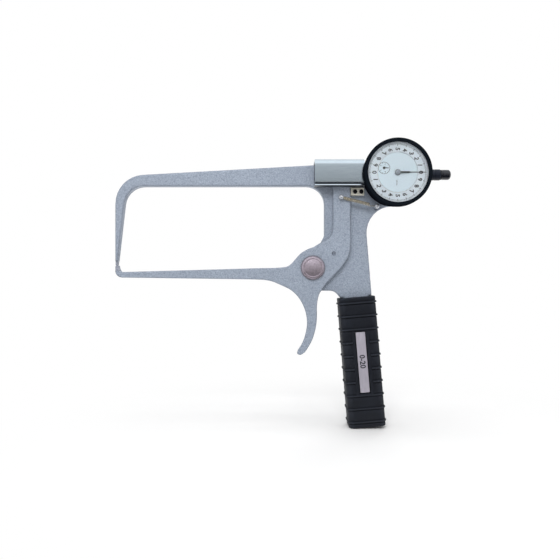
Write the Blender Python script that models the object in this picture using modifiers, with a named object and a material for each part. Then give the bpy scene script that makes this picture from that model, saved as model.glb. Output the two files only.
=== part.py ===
"""Outside dial caliper: a C-shaped frame with a grip, a trigger lever and a dial indicator.

It is seen from its front, which faces -Y, with +X to the right and +Z up. Places are measured
from the pivot axis, and depths forward from the middle of the frame plate. The root empty then
puts the middle of the grip at the origin. Pulling the trigger towards the grip opens the jaws.
"""

import math

import bmesh
import bpy
import numpy as np
from mathutils import Vector

MM = 0.001

# Fits and cutters
GAP = 0.3 * MM
OVERRUN = 2.0 * MM
WELD = 0.001 * MM
ARC_STEP_DEGREES = 12.0
CURVE_STEPS = 3
DOME_STEPS = 5
BALL_STEPS = 7
HEX_SIDES = 6
FINE_TURN = 32
COARSE_TURN = 12

# Frame casting
REACH = 163.2 * MM
FRAME_THICKNESS = 8.0 * MM
CONTACT_HEIGHT = 2.3 * MM
JAW_SHOULDER_HEIGHT = 75.9 * MM
JAW_OUTER_RADIUS = 24.0 * MM
JAW_INNER_RADIUS = 16.5 * MM
JAW_ROOT_WIDTH = 9.0 * MM
JAW_TIP_WIDTH = 1.8 * MM
JAW_BAR_WIDTH = 8.2 * MM
THROAT_RIGHT = 9.8 * MM
THROAT_BOTTOM = 26.5 * MM
THROAT_RADIUS = 15.0 * MM
THROAT_FOOT_RADIUS = 4.0 * MM
FRAME_LOBE_RADIUS = 15.0 * MM
FRAME_BELLY = 18.9 * MM
FRAME_BELLY_RADIUS = 8.0 * MM
FRAME_BELLY_RIGHT = 18.5 * MM
DIAL_SEAT_INSET = 1.2 * MM
NECK_FILLET_RADIUS = 22.5 * MM
TOP_CORNER_RADIUS = 6.0 * MM

# Upper and lower contact tips
UPPER_TIP_HEIGHT = 2.6 * MM
LOWER_TIP_WIDTH = 3.4 * MM
LOWER_TIP_HEIGHT = 4.2 * MM
TIP_EDGE_RADIUS = 0.6 * MM

# Grip
GRIP_TOP_X = 36.1 * MM
GRIP_TOP_Z = -24.0 * MM
GRIP_LEAN_DEGREES = 4.7
GRIP_LENGTH = 106.3 * MM
GRIP_WIDTH = 30.1 * MM
GRIP_DEPTH = 24.0 * MM
GRIP_CHAMFER = 3.0 * MM
RIB_COUNT = 10
RIB_WIDTH = 1.8 * MM
RIB_PROUD = 0.8 * MM
RIB_END_MARGIN = 4.55 * MM
PANEL_WIDTH = 14.0 * MM
RIB_COUNT_TO_PANEL = 3
RIB_COUNT_PAST_PANEL = 8
LABEL_WIDTH = 7.6 * MM
LABEL_END_MARGIN = 2.35 * MM
LABEL_THICKNESS = 0.8 * MM
LABEL_POCKET_MARGIN = 0.9 * MM
LABEL_POCKET_DEPTH = 1.1 * MM
TANG_WIDTH = 20.0 * MM
TANG_END_WALL = 14.3 * MM
SHOULDER_WIDTH = 26.0 * MM

# Lever
LEVER_THICKNESS = 5.7 * MM
LEVER_LOBE_RADIUS = 15.8 * MM
ARM_HEEL = 7.9 * MM
ARM_HEEL_RADIUS = 5.5 * MM
ARM_ROOT = 48.0 * MM
ARM_ROOT_DROP = 9.5 * MM
ARM_TOP_AT_JAW = -3.4 * MM
ARM_TOP_AT_ROOT = -0.3 * MM
ARM_NOTCH_RADIUS = 1.6 * MM
ARM_TAPER_OUTER = 62.0 * MM
ARM_TAPER_INNER = 32.0 * MM
SWING_CLEARANCE = 1.3 * MM
FINGER_LEFT = 16.6 * MM
FINGER_RIGHT = 30.9 * MM
FINGER_OVER_SPINDLE = 5.1 * MM
FINGER_CORNER_RADIUS = 2.0 * MM
TRIGGER_DROP = 71.6 * MM
TRIGGER_TIP_RADIUS = 2.2 * MM

# Pivot
PIVOT_BORE_RADIUS = 6.0 * MM
PIVOT_SHANK_RADIUS = 4.0 * MM
PIVOT_HEAD_RADIUS = 9.3 * MM
PIVOT_HEAD_RIM = 1.2 * MM
PIVOT_HEAD_DOME = 2.2 * MM
PIVOT_WASHER_RADIUS = 10.0 * MM
PIVOT_WASHER_THICKNESS = 1.0 * MM
PIVOT_NUT_RADIUS = 8.0 * MM
PIVOT_NUT_THICKNESS = 4.5 * MM
SET_SCREW_X = 17.3 * MM
SET_SCREW_Z = 11.6 * MM
SET_SCREW_RADIUS = 1.2 * MM
SET_SCREW_LENGTH = 3.5 * MM

# Dial indicator
DIAL_Z = 75.4 * MM
SPINDLE_FORWARD = 12.5 * MM
BACK_COVER_THICKNESS = 1.5 * MM
CASE_RADIUS = 25.0 * MM
CASE_WALL = 2.0 * MM
CASE_FRONT = 22.7 * MM
BEZEL_SKIRT_WALL = 1.7 * MM
BEZEL_FRONT = 28.0 * MM
BEZEL_BACK = 20.3 * MM
BEZEL_LIP_WIDTH = 3.1 * MM
BEZEL_LIP = 1.2 * MM
BEZEL_CHAMFER = 0.8 * MM
CRYSTAL_THICKNESS = 1.2 * MM
SPACER_THICKNESS = 1.1 * MM
SPACER_WIDTH = 1.4 * MM
FACE_THICKNESS = 0.6 * MM
SCALE_BAND_WIDTH = 8.3 * MM
COUNTER_SHARES = (-0.432, 0.14)
COUNTER_POINTER_REACH = 3.9 * MM
COUNTER_POINTER_FORWARD = 23.95 * MM
POINTER_TIP_MARGIN = 0.7 * MM
MAIN_POINTER_TAIL = 2.0 * MM
MAIN_POINTER_FORWARD = 24.45 * MM
POINTER_THICKNESS = 0.3 * MM
POINTER_WIDTH = 1.3 * MM
POINTER_HUB_RADIUS = 2.4 * MM
ARBOR_RADIUS = 0.6 * MM
CENTRE_PINION_RADIUS = 0.8 * MM
RACK_PINION_RADIUS = 1.2 * MM
GEAR_THICKNESS = 1.2 * MM
GEAR_FORWARD = 16.9 * MM
MOVEMENT_PLATE_FORWARD = 19.4 * MM
MOVEMENT_PLATE_THICKNESS = 1.2 * MM
BRIDGE_HEIGHT = 9.0 * MM
FACE_FOOT_RADIUS = 1.0 * MM
FACE_FOOT_INSET = 3.4 * MM
FIXING_SCREW_INSET = 11.0 * MM
DIAL_SCREW_COUNT = 3

# Spindle line
SPINDLE_RADIUS = 2.0 * MM
STEM_RADIUS = 4.0 * MM
STEM_BORE_RADIUS = 2.4 * MM
CONTACT_POINT_LENGTH = 3.9 * MM
CONTACT_BALL_RADIUS = 1.5 * MM
COLLAR_RADIUS = 4.45 * MM
COLLAR_LENGTH = 11.6 * MM
CAP_RADIUS = 4.05 * MM
CAP_LENGTH = 8.3 * MM
CAP_DOME = 2.4 * MM
SPINDLE_IN_CAP = 5.9 * MM
ANVIL_FACE = 29.0 * MM
ANVIL_WIDTH = 7.0 * MM
ANVIL_BELOW = 3.9 * MM
ANVIL_ABOVE = 3.9 * MM
ANVIL_FORWARD = 16.0 * MM
ANVIL_PEG_RADIUS = 1.6 * MM
CLAMP_WIDTH = 6.8 * MM
CLAMP_BELOW = 5.2 * MM
CLAMP_ABOVE = 8.9 * MM
CLAMP_FORWARD = 17.0 * MM
CLAMP_SCREW_FLARE = 0.6 * MM

# Spindle cover
COVER_LEFT = 1.2 * MM
COVER_RIGHT = 41.0 * MM
COVER_ABOVE = 12.0 * MM
COVER_BELOW = 9.0 * MM
COVER_WALL = 2.0 * MM
COVER_FORWARD = 20.0 * MM
COVER_BEND_RADIUS = 3.5 * MM
COVER_FLANGE_DROP = 13.0 * MM
COVER_SCREW_MARGIN = 9.0 * MM

# Stop plate
STOP_WIDTH = 11.0 * MM
STOP_HEIGHT = 6.2 * MM
STOP_BOTTOM = 59.5 * MM
STOP_THICKNESS = 4.0 * MM
STOP_SCREW_INSET = 3.6 * MM
STOP_SCREW_SPACING = 5.1 * MM
STOP_SCREW_RADIUS = 1.3 * MM
STOP_SCREW_HEAD_RADIUS = 1.65 * MM
STOP_SCREW_HEAD = 1.5 * MM

# Screws and posts
SCREW_RADIUS = 1.5 * MM
SCREW_HEAD_RADIUS = 2.8 * MM
SCREW_HEAD = 1.8 * MM
SCREW_CLEARANCE = 0.3 * MM
SLOT_WIDTH = 0.8 * MM
SLOT_DEPTH = 0.7 * MM
LEVER_POST_X = 22.9 * MM
LEVER_POST_Z = 57.4 * MM
FRAME_POST_X = 51.9 * MM
FRAME_POST_Z = 49.9 * MM
POST_RADIUS = 1.4 * MM
POST_NECK_RADIUS = 0.75 * MM
POST_NECK = 1.3 * MM
POST_HEAD_RADIUS = 1.45 * MM
POST_SHOULDER = 1.0 * MM
POST_PEG_RADIUS = 0.9 * MM

# Lever spring
SPRING_WIRE_RADIUS = 0.25 * MM
SPRING_COIL_RADIUS = 1.15 * MM
SPRING_PITCH = 0.98 * MM
SPRING_POINTS_A_TURN = 8
SPRING_EYE_RADIUS = 1.4 * MM
SPRING_LEAD = 2.6 * MM

# Depths and places that follow
ARC_STEP = math.radians(ARC_STEP_DEGREES)
GRIP_LEAN = math.radians(GRIP_LEAN_DEGREES)
FRAME_FRONT = FRAME_THICKNESS / 2
FRAME_BACK = -FRAME_THICKNESS / 2
LEVER_BACK = FRAME_FRONT + GAP
LEVER_FRONT = LEVER_BACK + LEVER_THICKNESS
COVER_TOP = DIAL_Z + COVER_ABOVE
COVER_BOTTOM = DIAL_Z - COVER_BELOW
DIAL_X = COVER_RIGHT + 2 * GAP + CASE_RADIUS
THROAT_TOP = JAW_SHOULDER_HEIGHT - JAW_BAR_WIDTH
FRAME_TOP = COVER_TOP - COVER_WALL - GAP
FINGER_TOP = DIAL_Z + FINGER_OVER_SPINDLE
CASE_BACK = FRAME_FRONT + GAP + BACK_COVER_THICKNESS + GAP
CRYSTAL_RADIUS = CASE_RADIUS - 2 * GAP
BEZEL_RADIUS = CASE_RADIUS + GAP + BEZEL_SKIRT_WALL
BEZEL_WINDOW_RADIUS = BEZEL_RADIUS - BEZEL_LIP_WIDTH
SPACER_BORE_RADIUS = CRYSTAL_RADIUS - SPACER_WIDTH
SCALE_BORE_RADIUS = CRYSTAL_RADIUS - SCALE_BAND_WIDTH
DIAL_SEAT_RADIUS = CASE_RADIUS - DIAL_SEAT_INSET
MAIN_POINTER_REACH = SPACER_BORE_RADIUS - POINTER_TIP_MARGIN
COUNTER_X = COUNTER_SHARES[0] * CASE_RADIUS
COUNTER_Z = COUNTER_SHARES[1] * CASE_RADIUS
DRIVE_GEAR_RADIUS = math.hypot(COUNTER_X, COUNTER_Z) - CENTRE_PINION_RADIUS - 2 * GAP
COLLAR_END = CASE_RADIUS + COLLAR_LENGTH
SPINDLE_TAIL = COLLAR_END + SPINDLE_IN_CAP
FACE_FORWARD = CASE_FRONT + GAP
SPACER_FORWARD = FACE_FORWARD + FACE_THICKNESS + GAP
CRYSTAL_FORWARD = BEZEL_FRONT - BEZEL_LIP - GAP - CRYSTAL_THICKNESS
STEM_END = DIAL_X - CASE_RADIUS + CASE_WALL
STEM_START = ANVIL_FACE + CONTACT_POINT_LENGTH + 2 * GAP
CLAMP_RIGHT = COVER_RIGHT
TANG_LENGTH = GRIP_LENGTH - TANG_END_WALL
RIB_PITCH = (GRIP_LENGTH - 2 * RIB_END_MARGIN) / (RIB_COUNT - 1)
LABEL_LENGTH = (RIB_COUNT_PAST_PANEL - RIB_COUNT_TO_PANEL) * RIB_PITCH - 2 * LABEL_END_MARGIN
SPRING_FORWARD = LEVER_FRONT + POST_SHOULDER + POST_NECK / 2

# Curved stretches of the lever, as shares of the size that each one follows
ARM_TO_TRIGGER_SHARES = (
    (-0.56, -0.138), (-0.464, -0.156), (-0.358, -0.201), (-0.253, -0.253), (-0.172, -0.328),
    (-0.112, -0.425), (-0.078, -0.521), (-0.064, -0.626), (-0.073, -0.712), (-0.095, -0.8),
    (-0.128, -0.879), (-0.167, -0.938),
)
TRIGGER_TIP_SHARES = ((-0.185, -0.985), (-0.14, -1.0))
TRIGGER_TO_LOBE_SHARES = (
    (-0.09, -0.965), (-0.05, -0.905), (-0.007, -0.825), (0.024, -0.73), (0.041, -0.644),
    (0.048, -0.556), (0.047, -0.469), (0.05, -0.408), (0.067, -0.32), (0.098, -0.258),
)
LOBE_TO_FINGER_SHARES = (
    (0.356, -0.411), (0.485, -0.273), (0.612, -0.138), (0.743, 0.0), (0.854, 0.15),
    (0.935, 0.29), (0.985, 0.48), (1.0, 0.7),
)
FINGER_TO_LOBE_SHARES = (
    (1.0, 2.12), (0.98, 1.87), (0.91, 1.62), (0.78, 1.45), (0.6, 1.33), (0.32, 1.2),
)
LOBE_TO_ARM_SHARES = (
    (0.03, 1.07), (-0.27, 0.965), (-0.64, 0.735), (-0.92, 0.425), (-1.16, 0.17),
    (-1.4, 0.05), (-1.95, -0.005),
)
RELIEF_CORNER_SHARES = (-1.32, -1.06)
LOBE_FOOT_SHARE = 0.17
POINTER_TIP_SHARE = 0.25
COUNTER_TAIL_SHARE = 0.33
RELIEF_ARC_DEGREES = (115.0, 200.0)
LOBE_ARC_DEGREES = (280.0, 76.0)
SPRING_EYE_DEGREES = 290.0
POST_HEAD_DEGREES = 145.0
SHARP_DEGREES = 35.0

FRONTWARDS = (math.radians(90.0), 0.0, 0.0)
RIGHTWARDS = (0.0, math.radians(90.0), 0.0)
ACROSS = (math.radians(90.0), 0.0, math.radians(-90.0))


def srgb(red, green, blue):
    """Linear colour of an 8-bit screen colour."""
    full = 255.0
    linear = (((value / full + 0.055) / 1.055) ** 2.4 for value in (red, green, blue))
    return (*linear, 1.0)


MATERIALS = {
    "hammered_paint": (srgb(158, 166, 178), 0.45, 0.35),
    "chrome": (srgb(205, 208, 208), 0.18, 1.0),
    "black_metal": (srgb(28, 28, 32), 0.4, 0.2),
    "dial_white": (srgb(226, 233, 238), 0.5, 0.0),
    "steel": (srgb(170, 168, 168), 0.32, 1.0),
    "pointer_black": (srgb(24, 24, 26), 0.4, 0.2),
    "pale_plastic": (srgb(190, 196, 198), 0.5, 0.0),
    "crystal": (srgb(235, 240, 242), 0.05, 0.0),
    "brass": (srgb(196, 164, 98), 0.3, 1.0),
    "spring_steel": (srgb(138, 126, 112), 0.35, 1.0),
    "rubber": (srgb(32, 34, 40), 0.65, 0.0),
    "label_aluminium": (srgb(176, 174, 180), 0.38, 0.9),
    "pale_steel": (srgb(212, 208, 192), 0.42, 0.7),
}


# Scene, collections and materials


def clear_scene():
    for obj in list(bpy.data.objects):
        bpy.data.objects.remove(obj, do_unlink=True)


def new_collection(name):
    collection = bpy.data.collections.new(name)
    bpy.context.scene.collection.children.link(collection)
    return collection


def make_materials():
    made = {}
    for name, (colour, roughness, metallic) in MATERIALS.items():
        material = bpy.data.materials.new(name)
        material.use_nodes = True
        shader = material.node_tree.nodes["Principled BSDF"]
        shader.inputs["Base Color"].default_value = colour
        shader.inputs["Roughness"].default_value = roughness
        shader.inputs["Metallic"].default_value = metallic
        made[name] = material
    return made


def new_empty(name, place, parent=None):
    empty = bpy.data.objects.new(name, None)
    empty.location = place
    empty.parent = parent
    empty.empty_display_size = POST_RADIUS
    PARTS.objects.link(empty)
    return empty


def add_object(name, mesh, place, rotation=(0.0, 0.0, 0.0), cutter=False):
    """A mesh object at a place measured from the pivot axis, carried by the root for now."""
    obj = bpy.data.objects.new(name, mesh)
    obj.location = place
    obj.rotation_euler = rotation
    obj.parent = ROOT
    if cutter:
        obj.hide_render = True
        obj.display_type = "WIRE"
        CUTTERS.objects.link(obj)
    else:
        PARTS.objects.link(obj)
    return obj


def carry(obj, joint, joint_place):
    """Hands an object from the root to the empty of its joint."""
    obj.parent = joint
    obj.location = Vector(obj.location) - Vector(joint_place)


def finish(obj, material):
    obj.data.materials.append(MADE[material])
    obj.data.shade_smooth()
    obj.data.set_sharp_from_angle(angle=math.radians(SHARP_DEGREES))
    return obj


# Outlines


def at(x, z, forward=0.0):
    """A place from its distances right, up and forward."""
    return (x, -forward, z)


def corners(points):
    """Outline corners with no rounding."""
    return [(x, z, 0.0) for x, z in points]


def arc(x, z, radius, start_degrees, end_degrees):
    turn = math.radians(end_degrees - start_degrees)
    steps = max(1, math.ceil(abs(turn) / ARC_STEP))
    angles = np.linspace(math.radians(start_degrees), math.radians(end_degrees), steps + 1)
    return corners((x + radius * math.cos(a), z + radius * math.sin(a)) for a in angles)


def scaled(shares, size):
    return [(x * size, z * size) for x, z in shares]


def curve_through(points):
    """Corners along a smooth curve that passes through the points."""
    ends = [points[0], *points, points[-1]]
    found = []
    for before, start, end, after in zip(ends, ends[1:], ends[2:], ends[3:]):
        before, start, end, after = (Vector(p) for p in (before, start, end, after))
        for step in range(CURVE_STEPS):
            t = step / CURVE_STEPS
            bend = 2 * before - 5 * start + 4 * end - after
            twist = 3 * (start - end) + after - before
            found.append((2 * start + t * (end - before) + t**2 * bend + t**3 * twist) / 2)
    found.append(Vector(points[-1]))
    return corners(found)


def rounded(outline):
    """Points of a closed outline whose corners, (x, z, radius), are rounded by arcs."""
    points = []
    for index, (x, z, radius) in enumerate(outline):
        corner = Vector((x, z))
        if not radius:
            points.append(corner)
            continue
        back = (Vector(outline[index - 1][:2]) - corner).normalized()
        ahead = (Vector(outline[(index + 1) % len(outline)][:2]) - corner).normalized()
        half = back.angle(ahead) / 2
        centre = corner + (back + ahead).normalized() * radius / math.sin(half)
        start = corner + back * radius / math.tan(half) - centre
        end = corner + ahead * radius / math.tan(half) - centre
        steps = max(1, math.ceil((math.pi - 2 * half) / ARC_STEP))
        points += [centre + radius * start.slerp(end, step / steps) for step in range(steps + 1)]
    return points


def box_outline(left, bottom, right, top, radius=0.0):
    return rounded(
        [(left, bottom, radius), (right, bottom, radius), (right, top, radius), (left, top, radius)]
    )


def circle(x, z, radius, steps=COARSE_TURN):
    angles = np.linspace(0.0, math.tau, steps, endpoint=False)
    return [(x + radius * math.cos(a), z + radius * math.sin(a)) for a in angles]


# Solids


def mesh_of_curve(name, curve):
    """The closed mesh of a curve, with its caps welded on."""
    shape = bpy.data.objects.new(name, curve)
    bpy.context.scene.collection.objects.link(shape)
    graph = bpy.context.evaluated_depsgraph_get()
    mesh = bpy.data.meshes.new_from_object(shape.evaluated_get(graph))
    bpy.data.objects.remove(shape)
    bpy.data.curves.remove(curve)
    welded = bmesh.new()
    welded.from_mesh(mesh)
    bmesh.ops.remove_doubles(welded, verts=welded.verts, dist=WELD)
    bmesh.ops.recalc_face_normals(welded, faces=welded.faces)
    welded.to_mesh(mesh)
    welded.free()
    mesh.name = name
    return mesh


def extruded(name, outlines, thickness, place, rotation, cutter=False):
    """A flat outline, with any holes in it, given a thickness to both sides of its place."""
    curve = bpy.data.curves.new(name, "CURVE")
    curve.dimensions = "2D"
    curve.fill_mode = "BOTH"
    curve.extrude = thickness / 2
    for outline in outlines:
        spline = curve.splines.new("POLY")
        spline.points.add(len(outline) - 1)
        for point, (x, y) in zip(spline.points, outline):
            point.co = (x, y, 0.0, 1.0)
        spline.use_cyclic_u = True
    return add_object(name, mesh_of_curve(name, curve), place, rotation, cutter)


def plate(name, outlines, back, front, cutter=False):
    """A plate whose outline is seen from the front."""
    middle = (back + front) / 2
    return extruded(name, outlines, front - back, at(0.0, 0.0, middle), FRONTWARDS, cutter)


def turned(name, profile, place, rotation=FRONTWARDS, ring=False, steps=FINE_TURN):
    """A profile of (radius, height) turned about an axis, from the top down its outer side."""
    mesh = bpy.data.meshes.new(name)
    outline = bmesh.new()
    rim = [outline.verts.new((radius, 0.0, height)) for radius, height in profile]
    for start, end in zip(rim, rim[1:]):
        outline.edges.new((start, end))
    if ring:
        outline.edges.new((rim[-1], rim[0]))
    outline.to_mesh(mesh)
    outline.free()
    obj = add_object(name, mesh, place, rotation)
    screw = obj.modifiers.new("Turn", "SCREW")
    screw.steps = screw.render_steps = steps
    screw.use_merge_vertices = True
    screw.merge_threshold = WELD
    return obj


def rod(radius, low, high):
    return [(0.0, high), (radius, high), (radius, low), (0.0, low)]


def tube(inner, outer, low, high):
    return [(inner, high), (outer, high), (outer, low), (inner, low)]


def dome(radius, rim_height, rise):
    """The curved top of a turned head, from its crown down to its rim."""
    angles = np.linspace(0.0, math.pi / 2, DOME_STEPS + 1)
    return [(radius * math.sin(a), rim_height + rise * math.cos(a)) for a in angles]


def box(name, low, high, cutter=False):
    """A box between two corners, each given right, up and forward."""
    mesh = bpy.data.meshes.new(name)
    cube = bmesh.new()
    bmesh.ops.create_cube(cube, size=1.0)
    size = [high[i] - low[i] for i in range(3)]
    bmesh.ops.scale(cube, vec=(size[0], size[2], size[1]), verts=cube.verts)
    cube.to_mesh(mesh)
    cube.free()
    middle = [(high[i] + low[i]) / 2 for i in range(3)]
    return add_object(name, mesh, at(*middle), cutter=cutter)


def bar(name, radius, place, rotation, length, steps=COARSE_TURN):
    """A round cutter centred on its place."""
    mesh = bpy.data.meshes.new(name)
    shape = bmesh.new()
    bmesh.ops.create_cone(
        shape, cap_ends=True, segments=steps, radius1=radius, radius2=radius, depth=length
    )
    shape.to_mesh(mesh)
    shape.free()
    return add_object(name, mesh, place, rotation, cutter=True)


def combine(obj, other, operation):
    modifier = obj.modifiers.new(other.name, "BOOLEAN")
    modifier.operation = operation
    modifier.solver = "EXACT"
    modifier.object = other
    return obj


def cut(obj, *cutters):
    for cutter in cutters:
        combine(obj, cutter, "DIFFERENCE")
    return obj


def join(obj, *others):
    """Fuses helper solids into one; the helpers are kept with the cutters."""
    for other in others:
        combine(obj, other, "UNION")
    return obj


# Places along the grip


def grip_point(across, down):
    """A place on the grip's plane, from the middle of its top end."""
    lean_sine = math.sin(GRIP_LEAN)
    lean_cosine = math.cos(GRIP_LEAN)
    x = GRIP_TOP_X + across * lean_cosine + down * lean_sine
    z = GRIP_TOP_Z + across * lean_sine - down * lean_cosine
    return (x, z)


def rib_drop(number):
    """How far below the grip's top end a rib lies, the first rib being number 1."""
    return RIB_END_MARGIN + (number - 1) * RIB_PITCH


def screw_places():
    """The dial's fixing screws, round the dial's centre."""
    turns = [turn / DIAL_SCREW_COUNT for turn in range(DIAL_SCREW_COUNT)]
    angles = [math.pi / 2 + math.tau * turn for turn in turns]
    reach = CASE_RADIUS - FIXING_SCREW_INSET
    return [(DIAL_X + reach * math.cos(a), DIAL_Z + reach * math.sin(a)) for a in angles]


def cover_screw_places():
    z = COVER_TOP - COVER_FLANGE_DROP / 2
    return [(COVER_LEFT + COVER_SCREW_MARGIN, z), (COVER_RIGHT - COVER_SCREW_MARGIN, z)]


def stop_screw_places():
    left = FINGER_RIGHT + GAP + STOP_SCREW_INSET
    z = STOP_BOTTOM + STOP_HEIGHT / 2
    return [(left, z), (left + STOP_SCREW_SPACING, z)]


def clamp_screw_place():
    z = DIAL_Z + (CLAMP_ABOVE + STEM_RADIUS + GAP) / 2
    return (CLAMP_RIGHT - CLAMP_WIDTH / 2, z)


# Frame side


def frame_outline():
    seat_start = 180.0 - math.degrees(math.asin((FRAME_TOP - DIAL_Z) / DIAL_SEAT_RADIUS))
    seat_bottom = DIAL_Z - DIAL_SEAT_RADIUS
    neck = grip_point(SHOULDER_WIDTH / 2, -GAP)
    neck_x = neck[0] - (seat_bottom - neck[1]) * math.tan(GRIP_LEAN)
    throat_left = -REACH + JAW_ROOT_WIDTH
    tip = CONTACT_HEIGHT + GAP / 2 + UPPER_TIP_HEIGHT + GAP
    lobe_foot = LOBE_FOOT_SHARE * FRAME_LOBE_RADIUS
    return rounded(
        [
            (-REACH, tip, 0.0),
            (-REACH, JAW_SHOULDER_HEIGHT, JAW_OUTER_RADIUS),
            (COVER_LEFT, FRAME_TOP, TOP_CORNER_RADIUS),
            *arc(DIAL_X, DIAL_Z, DIAL_SEAT_RADIUS, seat_start, -90.0),
            (neck_x, seat_bottom, NECK_FILLET_RADIUS),
            (*neck, 0.0),
            (*grip_point(TANG_WIDTH / 2, -GAP), 0.0),
            (*grip_point(TANG_WIDTH / 2, TANG_LENGTH), 0.0),
            (*grip_point(-TANG_WIDTH / 2, TANG_LENGTH), 0.0),
            (*grip_point(-TANG_WIDTH / 2, -GAP), 0.0),
            (*grip_point(-SHOULDER_WIDTH / 2, -GAP), 0.0),
            (FRAME_BELLY_RIGHT, -FRAME_BELLY, FRAME_BELLY_RADIUS),
            (lobe_foot, -FRAME_BELLY, 0.0),
            *arc(0.0, 0.0, FRAME_LOBE_RADIUS, *LOBE_ARC_DEGREES),
            (THROAT_RIGHT, THROAT_BOTTOM, THROAT_FOOT_RADIUS),
            (THROAT_RIGHT, THROAT_TOP, THROAT_RADIUS),
            (throat_left, THROAT_TOP, JAW_INNER_RADIUS),
            (-REACH + JAW_TIP_WIDTH, tip, 0.0),
        ]
    )


def make_frame():
    screw_hole = SCREW_RADIUS + SCREW_CLEARANCE
    stop_hole = STOP_SCREW_RADIUS + SCREW_CLEARANCE
    holes = [circle(0.0, 0.0, PIVOT_BORE_RADIUS, FINE_TURN)]
    holes += [circle(x, z, screw_hole) for x, z in screw_places() + cover_screw_places()]
    holes += [circle(x, z, stop_hole) for x, z in stop_screw_places()]
    holes.append(circle(*clamp_screw_place(), screw_hole))
    holes.append(circle(FRAME_POST_X, FRAME_POST_Z, POST_PEG_RADIUS + GAP))
    frame = plate("frame", [frame_outline(), *holes], FRAME_BACK, FRAME_FRONT)
    return finish(frame, "hammered_paint")


def make_upper_tip():
    low = CONTACT_HEIGHT + GAP / 2
    outline = rounded(
        [
            (-REACH, low, TIP_EDGE_RADIUS),
            (-REACH + JAW_TIP_WIDTH, low, TIP_EDGE_RADIUS),
            (-REACH + JAW_TIP_WIDTH, low + UPPER_TIP_HEIGHT, 0.0),
            (-REACH, low + UPPER_TIP_HEIGHT, 0.0),
        ]
    )
    tip = plate("upper_contact_tip", [outline], FRAME_BACK, FRAME_FRONT)
    return finish(tip, "steel")


def grip_section(proud):
    """The grip's cross-section, a chamfered rectangle, seen along its length."""
    half_width = GRIP_WIDTH / 2 + proud
    half_depth = GRIP_DEPTH / 2 + proud
    side = half_depth - GRIP_CHAMFER
    face = half_width - GRIP_CHAMFER
    right = [(half_width, -side), (half_width, side), (face, half_depth)]
    left = [(-half_width, side), (-half_width, -side), (-face, -half_depth)]
    return [*right, (-face, half_depth), *left, (face, -half_depth)]


def grip_slice(name, proud, down, length, cutter=False):
    x, z = grip_point(0.0, down)
    lean = (0.0, -GRIP_LEAN, 0.0)
    return extruded(name, [grip_section(proud)], length, at(x, z), lean, cutter)


def grip_block(name, width, back, front, start, end):
    """A box cutter on the grip's axis, between two distances down from its top end."""
    middle = (start + end) / 2
    x, z = grip_point(0.0, middle)
    mesh = bpy.data.meshes.new(name)
    cube = bmesh.new()
    bmesh.ops.create_cube(cube, size=1.0)
    bmesh.ops.scale(cube, vec=(width, front - back, end - start), verts=cube.verts)
    cube.to_mesh(mesh)
    cube.free()
    place = at(x, z, (back + front) / 2)
    return add_object(name, mesh, place, (0.0, -GRIP_LEAN, 0.0), cutter=True)


def label_middle():
    return (rib_drop(RIB_COUNT_TO_PANEL) + rib_drop(RIB_COUNT_PAST_PANEL)) / 2


def make_grip():
    grip = grip_slice("grip", 0.0, GRIP_LENGTH / 2, GRIP_LENGTH)
    for number in range(1, RIB_COUNT + 1):
        rib = grip_slice(f"rib_{number}", RIB_PROUD, rib_drop(number), RIB_WIDTH, cutter=True)
        join(grip, rib)
    face = GRIP_DEPTH / 2
    panel_start = rib_drop(RIB_COUNT_TO_PANEL) + RIB_WIDTH
    panel_end = rib_drop(RIB_COUNT_PAST_PANEL) - RIB_WIDTH
    proud = face + RIB_PROUD + OVERRUN
    panel = grip_block("panel_cutter", PANEL_WIDTH, face, proud, panel_start, panel_end)
    reach = LABEL_LENGTH / 2 + LABEL_POCKET_MARGIN
    pocket = grip_block(
        "label_pocket_cutter", LABEL_WIDTH + 2 * LABEL_POCKET_MARGIN,
        face - LABEL_POCKET_DEPTH, proud, label_middle() - reach, label_middle() + reach,
    )
    slot = grip_block(
        "tang_slot_cutter", TANG_WIDTH + 2 * GAP, FRAME_BACK - GAP, FRAME_FRONT + GAP,
        -OVERRUN, TANG_LENGTH + GAP,
    )
    return finish(cut(grip, panel, pocket, slot), "rubber")


def make_label():
    back = GRIP_DEPTH / 2 - LABEL_POCKET_DEPTH + GAP
    x, z = grip_point(0.0, label_middle())
    outline = box_outline(
        -LABEL_WIDTH / 2, -LABEL_LENGTH / 2, LABEL_WIDTH / 2, LABEL_LENGTH / 2
    )
    middle = at(x, z, back + LABEL_THICKNESS / 2)
    lean = (math.radians(90.0), -GRIP_LEAN, 0.0)
    label = extruded("label_plate", [outline], LABEL_THICKNESS, middle, lean)
    return finish(label, "label_aluminium")


def make_stop():
    left = FINGER_RIGHT + GAP
    outline = box_outline(left, STOP_BOTTOM, left + STOP_WIDTH, STOP_BOTTOM + STOP_HEIGHT)
    holes = [
        circle(x, z, STOP_SCREW_HEAD_RADIUS + SCREW_CLEARANCE) for x, z in stop_screw_places()
    ]
    stop = plate("stop_plate", [outline, *holes], LEVER_BACK, LEVER_BACK + STOP_THICKNESS)
    return finish(stop, "pale_steel")


def make_stop_screws():
    front = LEVER_BACK + STOP_THICKNESS
    for side, (x, z) in zip(("left", "right"), stop_screw_places()):
        profile = [
            (0.0, front),
            (STOP_SCREW_HEAD_RADIUS, front),
            (STOP_SCREW_HEAD_RADIUS, front - STOP_SCREW_HEAD),
            (STOP_SCREW_RADIUS, front - STOP_SCREW_HEAD),
            (STOP_SCREW_RADIUS, FRAME_BACK + GAP),
            (0.0, FRAME_BACK + GAP),
        ]
        name = f"stop_screw_{side}"
        screw = turned(name, profile, at(x, z), steps=COARSE_TURN)
        socket = bar(
            name + "_socket", STOP_SCREW_RADIUS / 2, at(x, z, front), FRONTWARDS,
            2 * SLOT_DEPTH, steps=HEX_SIDES,
        )
        finish(cut(screw, socket), "steel")


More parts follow.
